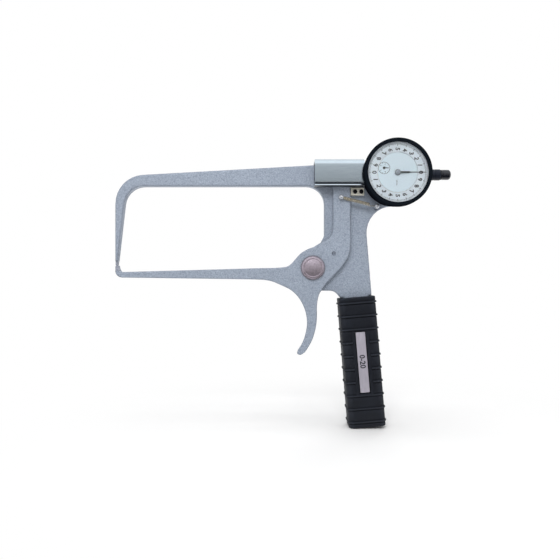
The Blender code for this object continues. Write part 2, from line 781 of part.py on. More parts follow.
def make_pivot():
    washer_back = LEVER_FRONT + GAP
    washer_front = washer_back + PIVOT_WASHER_THICKNESS
    bore = PIVOT_SHANK_RADIUS + GAP
    bush = tube(bore, PIVOT_BORE_RADIUS - GAP, FRAME_BACK, LEVER_FRONT)
    finish(turned("pivot_bush", bush, at(0.0, 0.0), ring=True), "brass")
    washer = tube(bore, PIVOT_WASHER_RADIUS, washer_back, washer_front)
    finish(turned("pivot_washer", washer, at(0.0, 0.0), ring=True), "steel")
    head_back = washer_front + GAP
    nut_back = FRAME_BACK - GAP - PIVOT_NUT_THICKNESS
    screw = [
        *dome(PIVOT_HEAD_RADIUS, head_back + PIVOT_HEAD_RIM, PIVOT_HEAD_DOME),
        (PIVOT_HEAD_RADIUS, head_back),
        (PIVOT_SHANK_RADIUS, head_back),
        (PIVOT_SHANK_RADIUS, nut_back - GAP),
        (0.0, nut_back - GAP),
    ]
    finish(turned("pivot_screw", screw, at(0.0, 0.0)), "steel")
    nut_outline = circle(0.0, 0.0, PIVOT_NUT_RADIUS, HEX_SIDES)
    nut_hole = circle(0.0, 0.0, bore, FINE_TURN)
    finish(plate("pivot_nut", [nut_outline, nut_hole], nut_back, FRAME_BACK - GAP), "steel")


def post_profile(base, shoulder_height):
    """A headed post with a neck for the spring's eye and a peg into what carries it."""
    neck_top = shoulder_height + POST_NECK
    ball_centre = neck_top - POST_HEAD_RADIUS * math.cos(math.radians(POST_HEAD_DEGREES))
    head = [
        (POST_HEAD_RADIUS * math.sin(a), ball_centre + POST_HEAD_RADIUS * math.cos(a))
        for a in np.linspace(0.0, math.radians(POST_HEAD_DEGREES), BALL_STEPS)
    ]
    return [
        *head,
        (POST_NECK_RADIUS, neck_top),
        (POST_NECK_RADIUS, shoulder_height),
        (POST_RADIUS, shoulder_height),
        (POST_RADIUS, base),
        (POST_PEG_RADIUS, base),
        (POST_PEG_RADIUS, base - FRAME_THICKNESS / 2),
        (0.0, base - FRAME_THICKNESS / 2),
    ]


def make_frame_post():
    shoulder = LEVER_FRONT + POST_SHOULDER
    profile = post_profile(FRAME_FRONT + GAP, shoulder)
    place = at(FRAME_POST_X, FRAME_POST_Z)
    finish(turned("spring_post_frame", profile, place, steps=COARSE_TURN), "steel")


# Lever side


def lever_outline():
    nub_top = CONTACT_HEIGHT - GAP / 2 - LOWER_TIP_HEIGHT - GAP
    nub_right = -REACH + LOWER_TIP_WIDTH
    under = curve_through(scaled(ARM_TO_TRIGGER_SHARES, TRIGGER_DROP))
    behind = curve_through(scaled(TRIGGER_TO_LOBE_SHARES, TRIGGER_DROP))
    tip_low, tip_end = scaled(TRIGGER_TIP_SHARES, TRIGGER_DROP)
    return rounded(
        [
            (-REACH, nub_top, 0.0),
            (-REACH, -ARM_HEEL, ARM_HEEL_RADIUS),
            (-ARM_ROOT, -ARM_ROOT_DROP, 0.0),
            *under,
            (*tip_low, TRIGGER_TIP_RADIUS / 2),
            (*tip_end, TRIGGER_TIP_RADIUS),
            *behind,
            *curve_through(scaled(LOBE_TO_FINGER_SHARES, FINGER_RIGHT)),
            (FINGER_RIGHT, FINGER_TOP, FINGER_CORNER_RADIUS),
            (FINGER_LEFT, FINGER_TOP, FINGER_CORNER_RADIUS),
            *curve_through(scaled(FINGER_TO_LOBE_SHARES, FINGER_LEFT)),
            *curve_through(scaled(LOBE_TO_ARM_SHARES, LEVER_LOBE_RADIUS)),
            (-ARM_ROOT, ARM_TOP_AT_ROOT, 0.0),
            (nub_right, ARM_TOP_AT_JAW, ARM_NOTCH_RADIUS),
            (nub_right, nub_top, 0.0),
        ]
    )


def lever_relief():
    """Clears the space behind the lever's front plate, leaving the arm its rear half."""
    radius = FRAME_LOBE_RADIUS + SWING_CLEARANCE
    corner = (RELIEF_CORNER_SHARES[0] * radius, RELIEF_CORNER_SHARES[1] * radius)
    below = -TRIGGER_DROP - OVERRUN
    right = FINGER_RIGHT + OVERRUN
    above = FINGER_TOP + OVERRUN
    sweep = arc(0.0, 0.0, radius, *RELIEF_ARC_DEGREES)
    outline = [
        *sweep,
        (*corner, 0.0),
        (-TRIGGER_DROP / 2, below, 0.0),
        (right, below, 0.0),
        (right, above, 0.0),
        (sweep[0][0], above, 0.0),
    ]
    back = FRAME_BACK - OVERRUN
    return plate("lever_relief_cutter", [rounded(outline)], back, LEVER_BACK, cutter=True)


def arm_taper():
    """Steps the arm's front back to the frame's, so that the jaws meet in one plane."""
    left = -REACH - OVERRUN
    outline = [
        (left, -FRAME_FRONT),
        (left, -LEVER_FRONT - OVERRUN),
        (-ARM_TAPER_INNER, -LEVER_FRONT - OVERRUN),
        (-ARM_TAPER_INNER, -LEVER_FRONT),
        (-ARM_TAPER_OUTER, -FRAME_FRONT),
    ]
    height = 2 * (ARM_ROOT_DROP + LEVER_LOBE_RADIUS)
    return extruded("arm_taper_cutter", [outline], height, at(0.0, 0.0), (0.0, 0.0, 0.0), True)


def make_lever():
    anvil_hole = circle(ANVIL_FACE - ANVIL_WIDTH / 2, DIAL_Z, ANVIL_PEG_RADIUS + GAP)
    post_hole = circle(LEVER_POST_X, LEVER_POST_Z, POST_PEG_RADIUS + GAP)
    bore = circle(0.0, 0.0, PIVOT_BORE_RADIUS, FINE_TURN)
    set_hole = circle(SET_SCREW_X, SET_SCREW_Z, SET_SCREW_RADIUS + GAP, COARSE_TURN)
    outlines = [lever_outline(), bore, post_hole, anvil_hole, set_hole]
    lever = plate("lever", outlines, FRAME_BACK, LEVER_FRONT)
    return finish(cut(lever, lever_relief(), arm_taper()), "hammered_paint")


def make_lower_tip():
    top = CONTACT_HEIGHT - GAP / 2
    right = -REACH + LOWER_TIP_WIDTH
    outline = rounded(
        [
            (-REACH, top - LOWER_TIP_HEIGHT, 0.0),
            (right, top - LOWER_TIP_HEIGHT, 0.0),
            (right, top, 2 * TIP_EDGE_RADIUS),
            (-REACH, top, TIP_EDGE_RADIUS),
        ]
    )
    return finish(plate("lower_contact_tip", [outline], FRAME_BACK, FRAME_FRONT), "steel")


def make_set_screw():
    front = LEVER_FRONT - GAP
    profile = rod(SET_SCREW_RADIUS, front - SET_SCREW_LENGTH, front)
    place = at(SET_SCREW_X, SET_SCREW_Z)
    screw = turned("lever_set_screw", profile, place, steps=COARSE_TURN)
    socket = bar(
        "set_screw_socket", SET_SCREW_RADIUS / 2, at(SET_SCREW_X, SET_SCREW_Z, front),
        FRONTWARDS, 2 * SLOT_DEPTH, steps=HEX_SIDES,
    )
    return finish(cut(screw, socket), "steel")


def make_lever_post():
    profile = post_profile(LEVER_FRONT + GAP, LEVER_FRONT + POST_SHOULDER)
    place = at(LEVER_POST_X, LEVER_POST_Z)
    return finish(turned("spring_post_lever", profile, place, steps=COARSE_TURN), "steel")


def make_anvil():
    left = ANVIL_FACE - ANVIL_WIDTH
    back = LEVER_FRONT + GAP
    anvil = box(
        "finger_anvil", (left, DIAL_Z - ANVIL_BELOW, back),
        (ANVIL_FACE, DIAL_Z + ANVIL_ABOVE, ANVIL_FORWARD),
    )
    peg_length = LEVER_THICKNESS
    middle = at(left + ANVIL_WIDTH / 2, DIAL_Z, back)
    peg = bar("anvil_peg", ANVIL_PEG_RADIUS, middle, FRONTWARDS, peg_length)
    return finish(join(anvil, peg), "steel")


def spring_points():
    """Centre line of the lever spring: an eye round each post and close turns between them."""
    start = Vector((LEVER_POST_X, LEVER_POST_Z))
    end = Vector((FRAME_POST_X, FRAME_POST_Z))
    span = (end - start).length
    coil = span - 2 * (SPRING_EYE_RADIUS + SPRING_LEAD)
    turns = math.floor(coil / SPRING_PITCH)
    first = (span - turns * SPRING_PITCH) / 2
    eye_steps = SPRING_POINTS_A_TURN
    sweep = np.linspace(math.radians(-SPRING_EYE_DEGREES), 0.0, eye_steps + 1)
    eye = [(SPRING_EYE_RADIUS * math.cos(a), SPRING_EYE_RADIUS * math.sin(a), 0.0) for a in sweep]
    count = turns * SPRING_POINTS_A_TURN
    wound = []
    for step in range(count + 1):
        angle = math.tau * step / SPRING_POINTS_A_TURN
        along = first + step / SPRING_POINTS_A_TURN * SPRING_PITCH
        side = SPRING_COIL_RADIUS * math.cos(angle)
        up = SPRING_COIL_RADIUS * math.sin(angle)
        wound.append((along, side, up))
    far_eye = [(span - along, -side, up) for along, side, up in reversed(eye)]
    return [*eye, *wound, *far_eye]


def own_gap(points, radius):
    """The least gap of a tube to itself, between points more than half a turn apart."""
    places = np.array(points)
    apart = SPRING_POINTS_A_TURN // 2
    least = math.inf
    for index in range(len(places) - apart):
        reach = np.linalg.norm(places[index + apart:] - places[index], axis=1)
        least = min(least, reach.min())
    return least - 2 * radius


def make_spring():
    start = Vector((LEVER_POST_X, LEVER_POST_Z))
    direction = Vector((FRAME_POST_X, FRAME_POST_Z)) - start
    tilt = -math.atan2(direction.y, direction.x)
    points = spring_points()
    curve = bpy.data.curves.new("lever_spring", "CURVE")
    curve.dimensions = "3D"
    curve.bevel_depth = SPRING_WIRE_RADIUS
    curve.bevel_resolution = 1
    curve.use_fill_caps = True
    spline = curve.splines.new("POLY")
    spline.points.add(len(points) - 1)
    for point, place in zip(spline.points, points):
        point.co = (*place, 1.0)
    mesh = mesh_of_curve("lever_spring", curve)
    place = at(LEVER_POST_X, LEVER_POST_Z, SPRING_FORWARD)
    spring = add_object("lever_spring", mesh, place, (math.radians(90.0), tilt, 0.0))
    print("least gap of the spring to itself, mm:", own_gap(points, SPRING_WIRE_RADIUS) / MM)
    return finish(spring, "spring_steel")


# Cover


def cover_outline(back, wraps):
    """The cover's section seen from its left end, as (forward, up)."""
    bend = COVER_BEND_RADIUS
    if not wraps:
        return rounded(
            [
                (back, COVER_BOTTOM, 0.0),
                (COVER_FORWARD, COVER_BOTTOM, bend),
                (COVER_FORWARD, COVER_TOP, bend),
                (back, COVER_TOP, 0.0),
            ]
        )
    wall = COVER_WALL
    lip = LEVER_FRONT + 2 * GAP
    flange = COVER_TOP - COVER_FLANGE_DROP
    return rounded(
        [
            (lip, COVER_BOTTOM, 0.0),
            (COVER_FORWARD, COVER_BOTTOM, bend),
            (COVER_FORWARD, COVER_TOP, bend),
            (back - wall, COVER_TOP, bend),
            (back - wall, flange, 0.0),
            (back, flange, 0.0),
            (back, COVER_TOP - wall, 0.0),
            (COVER_FORWARD - wall, COVER_TOP - wall, bend - wall),
            (COVER_FORWARD - wall, COVER_BOTTOM + wall, bend - wall),
            (lip, COVER_BOTTOM + wall, 0.0),
        ]
    )


def make_cover():
    length = COVER_RIGHT - COVER_LEFT
    middle = (COVER_LEFT + COVER_RIGHT) / 2
    outline = cover_outline(FRAME_BACK - GAP, wraps=True)
    cover = extruded("spindle_cover", [outline], length, at(middle, 0.0), ACROSS)
    end_outline = cover_outline(FRAME_FRONT + GAP, wraps=False)
    end_middle = COVER_LEFT + COVER_WALL / 2
    end = extruded("cover_end", [end_outline], COVER_WALL, at(end_middle, 0.0), ACROSS, True)
    holes = []
    reach = 2 * (COVER_WALL + OVERRUN)
    for index, (x, z) in enumerate(cover_screw_places()):
        place = at(x, z, FRAME_BACK)
        radius = SCREW_RADIUS + SCREW_CLEARANCE
        holes.append(bar(f"cover_hole_{index}", radius, place, FRONTWARDS, reach))
    return finish(cut(join(cover, end), *holes), "chrome")


def rear_screw(name, x, z, head_front, tip):
    """A pan-headed screw whose head faces backwards."""
    head_back = head_front - SCREW_HEAD
    profile = [
        (0.0, tip),
        (SCREW_RADIUS, tip),
        (SCREW_RADIUS, head_front),
        (SCREW_HEAD_RADIUS, head_front),
        (SCREW_HEAD_RADIUS, head_back + SCREW_HEAD / 2),
        (SCREW_HEAD_RADIUS - SCREW_HEAD / 2, head_back),
        (0.0, head_back),
    ]
    screw = turned(name, profile, at(x, z), steps=COARSE_TURN)
    half = SCREW_HEAD_RADIUS + OVERRUN
    slot = box(
        name + "_slot", (x - half, z - SLOT_WIDTH / 2, head_back - OVERRUN),
        (x + half, z + SLOT_WIDTH / 2, head_back + SLOT_DEPTH), cutter=True,
    )
    return finish(cut(screw, slot), "steel")


def make_rear_screws():
    flange_back = FRAME_BACK - GAP - COVER_WALL
    for side, (x, z) in zip(("left", "right"), cover_screw_places()):
        rear_screw(f"cover_screw_{side}", x, z, flange_back - GAP, FRAME_FRONT - GAP)
    tip = FRAME_FRONT + GAP + BACK_COVER_THICKNESS
    for index, (x, z) in enumerate(screw_places()):
        rear_screw(f"dial_screw_{index + 1}", x, z, FRAME_BACK - GAP, tip)


# Dial indicator


def make_case():
    back = FRAME_FRONT + GAP
    cover_outline_points = circle(DIAL_X, DIAL_Z, CASE_RADIUS, FINE_TURN)
    holes = [circle(x, z, SCREW_RADIUS + SCREW_CLEARANCE) for x, z in screw_places()]
    cover = plate(
        "dial_back_cover", [cover_outline_points, *holes], back, back + BACK_COVER_THICKNESS
    )
    finish(cover, "black_metal")
    wall = tube(CASE_RADIUS - CASE_WALL, CASE_RADIUS, CASE_BACK, CASE_FRONT)
    case = turned("dial_case", wall, at(DIAL_X, DIAL_Z), ring=True)
    length = 2 * (CASE_WALL + OVERRUN)
    bore = STEM_RADIUS + GAP
    left = at(DIAL_X - CASE_RADIUS, DIAL_Z, SPINDLE_FORWARD)
    right = at(DIAL_X + CASE_RADIUS, DIAL_Z, SPINDLE_FORWARD)
    cutters = [
        bar("stem_bore", bore, left, RIGHTWARDS, length),
        bar("collar_bore", bore, right, RIGHTWARDS, length),
    ]
    return finish(cut(case, *cutters), "black_metal")


def make_bezel_parts():
    dial = at(DIAL_X, DIAL_Z)
    pocket = CASE_RADIUS - GAP / 3
    skirt = CASE_RADIUS + GAP
    lip_back = BEZEL_FRONT - BEZEL_LIP
    profile = [
        (BEZEL_WINDOW_RADIUS, BEZEL_FRONT),
        (BEZEL_RADIUS - BEZEL_CHAMFER, BEZEL_FRONT),
        (BEZEL_RADIUS, BEZEL_FRONT - BEZEL_CHAMFER),
        (BEZEL_RADIUS, BEZEL_BACK),
        (skirt, BEZEL_BACK),
        (skirt, CASE_FRONT + GAP / 2),
        (pocket, CASE_FRONT + GAP),
        (pocket, lip_back),
        (BEZEL_WINDOW_RADIUS, lip_back),
    ]
    bezel = finish(turned("bezel", profile, dial, ring=True), "black_metal")
    crystal_profile = rod(CRYSTAL_RADIUS, CRYSTAL_FORWARD, CRYSTAL_FORWARD + CRYSTAL_THICKNESS)
    crystal = finish(turned("crystal", crystal_profile, dial), "crystal")
    ring = tube(
        SPACER_BORE_RADIUS, CRYSTAL_RADIUS, SPACER_FORWARD, SPACER_FORWARD + SPACER_THICKNESS
    )
    spacer = finish(turned("spacer_ring", ring, dial, ring=True), "pale_plastic")
    scale = tube(
        SCALE_BORE_RADIUS, CRYSTAL_RADIUS, FACE_FORWARD, FACE_FORWARD + FACE_THICKNESS
    )
    scale_ring = finish(turned("scale_ring", scale, dial, ring=True), "dial_white")
    return [bezel, crystal, spacer, scale_ring]


def make_dial_plate():
    hole = ARBOR_RADIUS + GAP
    outlines = [
        circle(DIAL_X, DIAL_Z, SCALE_BORE_RADIUS - GAP, FINE_TURN),
        circle(DIAL_X, DIAL_Z, hole),
        circle(DIAL_X + COUNTER_X, DIAL_Z + COUNTER_Z, hole),
    ]
    face = plate("dial_plate", outlines, FACE_FORWARD, FACE_FORWARD + FACE_THICKNESS)
    foot_back = MOVEMENT_PLATE_FORWARD + MOVEMENT_PLATE_THICKNESS + GAP
    length = FACE_FORWARD + FACE_THICKNESS / 2 - foot_back
    for side, angle in (("upper", 90.0), ("lower", 270.0)):
        z = DIAL_Z + (SCALE_BORE_RADIUS - FACE_FOOT_INSET) * math.sin(math.radians(angle))
        place = at(DIAL_X, z, foot_back + length / 2)
        join(face, bar(f"face_foot_{side}", FACE_FOOT_RADIUS, place, FRONTWARDS, length))
    return finish(face, "dial_white")


def make_movement():
    hole = ARBOR_RADIUS + GAP
    back = MOVEMENT_PLATE_FORWARD
    outlines = [
        circle(DIAL_X, DIAL_Z, CASE_RADIUS - CASE_WALL - GAP, FINE_TURN),
        circle(DIAL_X, DIAL_Z, hole),
        circle(DIAL_X + COUNTER_X, DIAL_Z + COUNTER_Z, hole),
    ]
    movement = plate("movement_plate", outlines, back, back + MOVEMENT_PLATE_THICKNESS)
    finish(movement, "brass")
    counter_z = DIAL_Z + COUNTER_Z
    half_height = BRIDGE_HEIGHT / 2
    inside = CASE_RADIUS - CASE_WALL - GAP
    half_length = math.sqrt(inside**2 - (COUNTER_Z + half_height) ** 2)
    outline = box_outline(
        DIAL_X - half_length, counter_z - half_height, DIAL_X + half_length, counter_z + half_height
    )
    bearing = circle(DIAL_X + COUNTER_X, counter_z, hole)
    back = CASE_BACK + GAP
    bridge = plate("rear_bridge", [outline, bearing], back, back + MOVEMENT_PLATE_THICKNESS)
    finish(bridge, "brass")


def pointer_outline(reach, tail, width):
    """A tapered needle that points right, with a blunt tail."""
    half = width / 2
    tip = half * POINTER_TIP_SHARE
    return [
        (-tail, -half), (0.0, -half), (reach, -tip), (reach, tip), (0.0, half), (-tail, half),
    ]


def pointer(name, place_x, place_z, forward, reach, tail, hub_radius, arbor_profile):
    """A needle fused to its hub and arbor."""
    hub_top = forward + POINTER_THICKNESS + GAP / 3
    outline = pointer_outline(reach, tail, POINTER_WIDTH)
    needle = extruded(
        name, [outline], POINTER_THICKNESS, at(place_x, place_z, forward + POINTER_THICKNESS / 2),
        FRONTWARDS,
    )
    profile = [(0.0, hub_top), (hub_radius, hub_top), (hub_radius, forward - GAP / 6)]
    arbor = turned(
        name + "_arbor", [*profile, *arbor_profile], at(place_x, place_z), steps=COARSE_TURN
    )
    arbor.hide_render = True
    arbor.display_type = "WIRE"
    PARTS.objects.unlink(arbor)
    CUTTERS.objects.link(arbor)
    return join(needle, arbor), arbor


def make_pointers():
    gear_top = GEAR_FORWARD + GEAR_THICKNESS / 2
    gear_low = GEAR_FORWARD - GEAR_THICKNESS / 2
    rear = SPINDLE_FORWARD + SPINDLE_RADIUS + 2 * GAP
    centre_profile = [
        (ARBOR_RADIUS, MAIN_POINTER_FORWARD - GAP / 6),
        (ARBOR_RADIUS, gear_top),
        (CENTRE_PINION_RADIUS, gear_top),
        (CENTRE_PINION_RADIUS, gear_low),
        (ARBOR_RADIUS, gear_low),
        (ARBOR_RADIUS, rear),
        (0.0, rear),
    ]
    main, main_arbor = pointer(
        "main_pointer", DIAL_X, DIAL_Z, MAIN_POINTER_FORWARD, MAIN_POINTER_REACH,
        MAIN_POINTER_TAIL, POINTER_HUB_RADIUS, centre_profile,
    )
    rack_top = SPINDLE_FORWARD + SPINDLE_RADIUS
    rack_low = SPINDLE_FORWARD - SPINDLE_RADIUS
    bearing = CASE_BACK + 2 * GAP
    counter_profile = [
        (ARBOR_RADIUS, COUNTER_POINTER_FORWARD - GAP / 6),
        (ARBOR_RADIUS, gear_top),
        (DRIVE_GEAR_RADIUS, gear_top),
        (DRIVE_GEAR_RADIUS, gear_low),
        (ARBOR_RADIUS, gear_low),
        (ARBOR_RADIUS, rack_top),
        (RACK_PINION_RADIUS, rack_top),
        (RACK_PINION_RADIUS, rack_low),
        (ARBOR_RADIUS, rack_low),
        (ARBOR_RADIUS, bearing),
        (0.0, bearing),
    ]
    counter, counter_arbor = pointer(
        "counter_pointer", DIAL_X + COUNTER_X, DIAL_Z + COUNTER_Z, COUNTER_POINTER_FORWARD,
        COUNTER_POINTER_REACH, COUNTER_TAIL_SHARE * COUNTER_POINTER_REACH, ARBOR_RADIUS + GAP,
        counter_profile,
    )
    finish(main, "pointer_black")
    finish(counter, "pointer_black")
    return (main, main_arbor), (counter, counter_arbor)


# Spindle line


def along_spindle(name, profile, ring=False, steps=FINE_TURN):
    """A turned piece on the spindle axis, its heights measured right from the pivot axis."""
    return turned(name, profile, at(0.0, DIAL_Z, SPINDLE_FORWARD), RIGHTWARDS, ring, steps)


def make_stem_line():
    stem = tube(STEM_BORE_RADIUS, STEM_RADIUS, STEM_START, STEM_END)
    finish(along_spindle("stem", stem, ring=True), "steel")
    collar_start = DIAL_X + CASE_RADIUS + GAP
    spigot_start = DIAL_X + CASE_RADIUS - CASE_WALL
    collar_end = DIAL_X + COLLAR_END
    collar = [
        (STEM_BORE_RADIUS, collar_end),
        (COLLAR_RADIUS, collar_end),
        (COLLAR_RADIUS, collar_start),
        (STEM_RADIUS, collar_start),
        (STEM_RADIUS, spigot_start),
        (STEM_BORE_RADIUS, spigot_start),
    ]
    finish(along_spindle("collar", collar, ring=True), "black_metal")
    cap_start = collar_end + GAP
    cap_end = cap_start + CAP_LENGTH
    inside = DIAL_X + SPINDLE_TAIL + 2 * GAP
    cap = [
        *dome(CAP_RADIUS, cap_end - CAP_DOME, CAP_DOME),
        (CAP_RADIUS, cap_start),
        (STEM_BORE_RADIUS, cap_start),
        (STEM_BORE_RADIUS, inside),
        (0.0, inside),
    ]
    finish(along_spindle("dust_cap", cap), "black_metal")


def make_spindle():
    tip = ANVIL_FACE + GAP
    start = tip + CONTACT_POINT_LENGTH
    spindle = along_spindle("spindle", rod(SPINDLE_RADIUS, start + GAP, DIAL_X + SPINDLE_TAIL))
    finish(spindle, "steel")
    ball = CONTACT_BALL_RADIUS
    nose = [
        (ball * math.sin(a), tip + ball - ball * math.cos(a))
        for a in np.linspace(math.pi / 2, 0.0, DOME_STEPS)
    ]
    profile = [(0.0, start), (SPINDLE_RADIUS, start), (SPINDLE_RADIUS, tip + 2 * ball), *nose]
    point = finish(along_spindle("contact_point", profile), "steel")
    return [spindle, point]


def make_clamp():
    """The block that holds the dial's stem to the frame, under the cover."""
    left = CLAMP_RIGHT - CLAMP_WIDTH
    clamp = box(
        "stem_clamp", (left, DIAL_Z - CLAMP_BELOW, FRAME_FRONT + GAP),
        (CLAMP_RIGHT, DIAL_Z + CLAMP_ABOVE, CLAMP_FORWARD),
    )
    middle = left + CLAMP_WIDTH / 2
    length = CLAMP_WIDTH + 2 * OVERRUN
    stem_bore = bar(
        "clamp_bore", STEM_RADIUS + GAP, at(middle, DIAL_Z, SPINDLE_FORWARD), RIGHTWARDS, length,
        steps=FINE_TURN,
    )
    x, z = clamp_screw_place()
    radius = SCREW_RADIUS + SCREW_CLEARANCE
    screw_bore = bar("clamp_screw_bore", radius, at(x, z, LEVER_FRONT), FRONTWARDS, 2 * CLAMP_FORWARD)
    finish(cut(clamp, stem_bore, screw_bore), "steel")
    head_back = CLAMP_FORWARD + GAP
    profile = [
        (0.0, COVER_FORWARD - COVER_WALL - GAP),
        (SCREW_RADIUS + CLAMP_SCREW_FLARE, COVER_FORWARD - COVER_WALL - GAP),
        (SCREW_RADIUS + CLAMP_SCREW_FLARE, head_back),
        (SCREW_RADIUS, head_back),
        (SCREW_RADIUS, FRAME_BACK + GAP),
        (0.0, FRAME_BACK + GAP),
    ]
    finish(turned("clamp_screw", profile, at(x, z), steps=COARSE_TURN), "steel")


def build():
    make_frame()
    make_upper_tip()
    make_grip()
    make_label()
    make_stop()
    make_stop_screws()
    make_pivot()
    make_frame_post()
    make_cover()
    make_rear_screws()
    make_case()
    make_dial_plate()
    make_movement()
    make_stem_line()
    make_clamp()
    make_spring()

    lever_parts = [make_lever(), make_lower_tip(), make_set_screw(), make_lever_post()]
    lever_parts.append(make_anvil())
    lever_joint = new_empty("lever_joint", at(0.0, 0.0), ROOT)
    for obj in lever_parts:
        carry(obj, lever_joint, at(0.0, 0.0))

    spindle_place = at(ANVIL_FACE, DIAL_Z, SPINDLE_FORWARD)
    spindle_joint = new_empty("spindle_joint", spindle_place, ROOT)
    for obj in make_spindle():
        carry(obj, spindle_joint, spindle_place)

    dial_place = at(DIAL_X, DIAL_Z)
    bezel_joint = new_empty("bezel_joint", dial_place, ROOT)
    for obj in make_bezel_parts():
        carry(obj, bezel_joint, dial_place)

    main, counter = make_pointers()
    main_joint = new_empty("main_pointer_joint", dial_place, ROOT)
    for obj in main:
        carry(obj, main_joint, dial_place)
    counter_place = at(DIAL_X + COUNTER_X, DIAL_Z + COUNTER_Z)
    counter_joint = new_empty("counter_pointer_joint", counter_place, ROOT)
    for obj in counter:
        carry(obj, counter_joint, counter_place)


clear_scene()
PARTS = new_collection("outside_dial_caliper")
CUTTERS = new_collection("cutters")
MADE = make_materials()
GRIP_MIDDLE = grip_point(0.0, GRIP_LENGTH / 2)
ROOT = new_empty("caliper_root", (-GRIP_MIDDLE[0], 0.0, -GRIP_MIDDLE[1]))
build()
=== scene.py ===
import math

import bmesh
import bpy
import numpy as np
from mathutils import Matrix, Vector


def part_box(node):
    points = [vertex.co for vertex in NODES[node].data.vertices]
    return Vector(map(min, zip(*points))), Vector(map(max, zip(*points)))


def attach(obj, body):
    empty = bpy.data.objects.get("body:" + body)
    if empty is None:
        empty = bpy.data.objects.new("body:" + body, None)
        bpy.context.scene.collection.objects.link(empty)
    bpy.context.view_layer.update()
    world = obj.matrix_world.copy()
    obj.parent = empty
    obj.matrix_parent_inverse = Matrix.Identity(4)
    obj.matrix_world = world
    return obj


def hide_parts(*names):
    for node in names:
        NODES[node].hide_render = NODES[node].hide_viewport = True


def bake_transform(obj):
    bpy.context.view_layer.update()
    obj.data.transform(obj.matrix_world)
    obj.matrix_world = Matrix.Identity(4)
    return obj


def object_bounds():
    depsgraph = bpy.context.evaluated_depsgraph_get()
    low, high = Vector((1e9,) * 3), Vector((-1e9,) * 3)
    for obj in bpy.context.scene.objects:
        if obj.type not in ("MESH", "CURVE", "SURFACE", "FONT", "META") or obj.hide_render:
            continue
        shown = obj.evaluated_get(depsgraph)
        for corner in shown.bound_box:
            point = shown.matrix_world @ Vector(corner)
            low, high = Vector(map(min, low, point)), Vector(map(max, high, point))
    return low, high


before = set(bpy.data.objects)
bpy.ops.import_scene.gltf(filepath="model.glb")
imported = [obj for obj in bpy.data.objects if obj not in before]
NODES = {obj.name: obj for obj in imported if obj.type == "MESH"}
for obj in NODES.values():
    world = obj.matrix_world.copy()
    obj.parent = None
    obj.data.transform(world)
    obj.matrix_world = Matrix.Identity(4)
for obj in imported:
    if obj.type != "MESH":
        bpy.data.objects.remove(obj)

CAD_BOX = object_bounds()
MM = 0.001

# Places in millimetres: right and up from the pivot axis, and forward from the frame's middle
PIVOT_TO_ORIGIN = (-40.455, 76.971)
DIAL = (66.6, 75.4)
SPINDLE_FORWARD = 12.5
COUNTER = (DIAL[0] - 10.8, DIAL[1] + 3.5)
LEVER_POST = (22.9, 57.4)
FRAME_POST = (51.9, 49.9)
SPRING_FORWARD = 11.65
GRIP_LEAN = math.radians(4.7)
FACE_FRONT = 23.6
SCALE_FRONT = 23.85
SCALE_BORE = 16.3
INK_THICKNESS = 0.03

# The photo's frame and focal length in pixels, and the camera's place in metres
PHOTO_SIDE = 560.0
PHOTO_FOCUS = 600.0
CAMERA_PLACE = (-0.065655, -0.5, 0.066171)
SENSOR = 36.0


def at(x, z, forward=0.0):
    """A place in the shared frame, in metres."""
    return Vector(((x + PIVOT_TO_ORIGIN[0]) * MM, -forward * MM, (z + PIVOT_TO_ORIGIN[1]) * MM))


def srgb(red, green, blue):
    """Linear colour of an 8-bit screen colour."""
    return (*(((value / 255 + 0.055) / 1.055) ** 2.4 for value in (red, green, blue)), 1.0)


# Materials


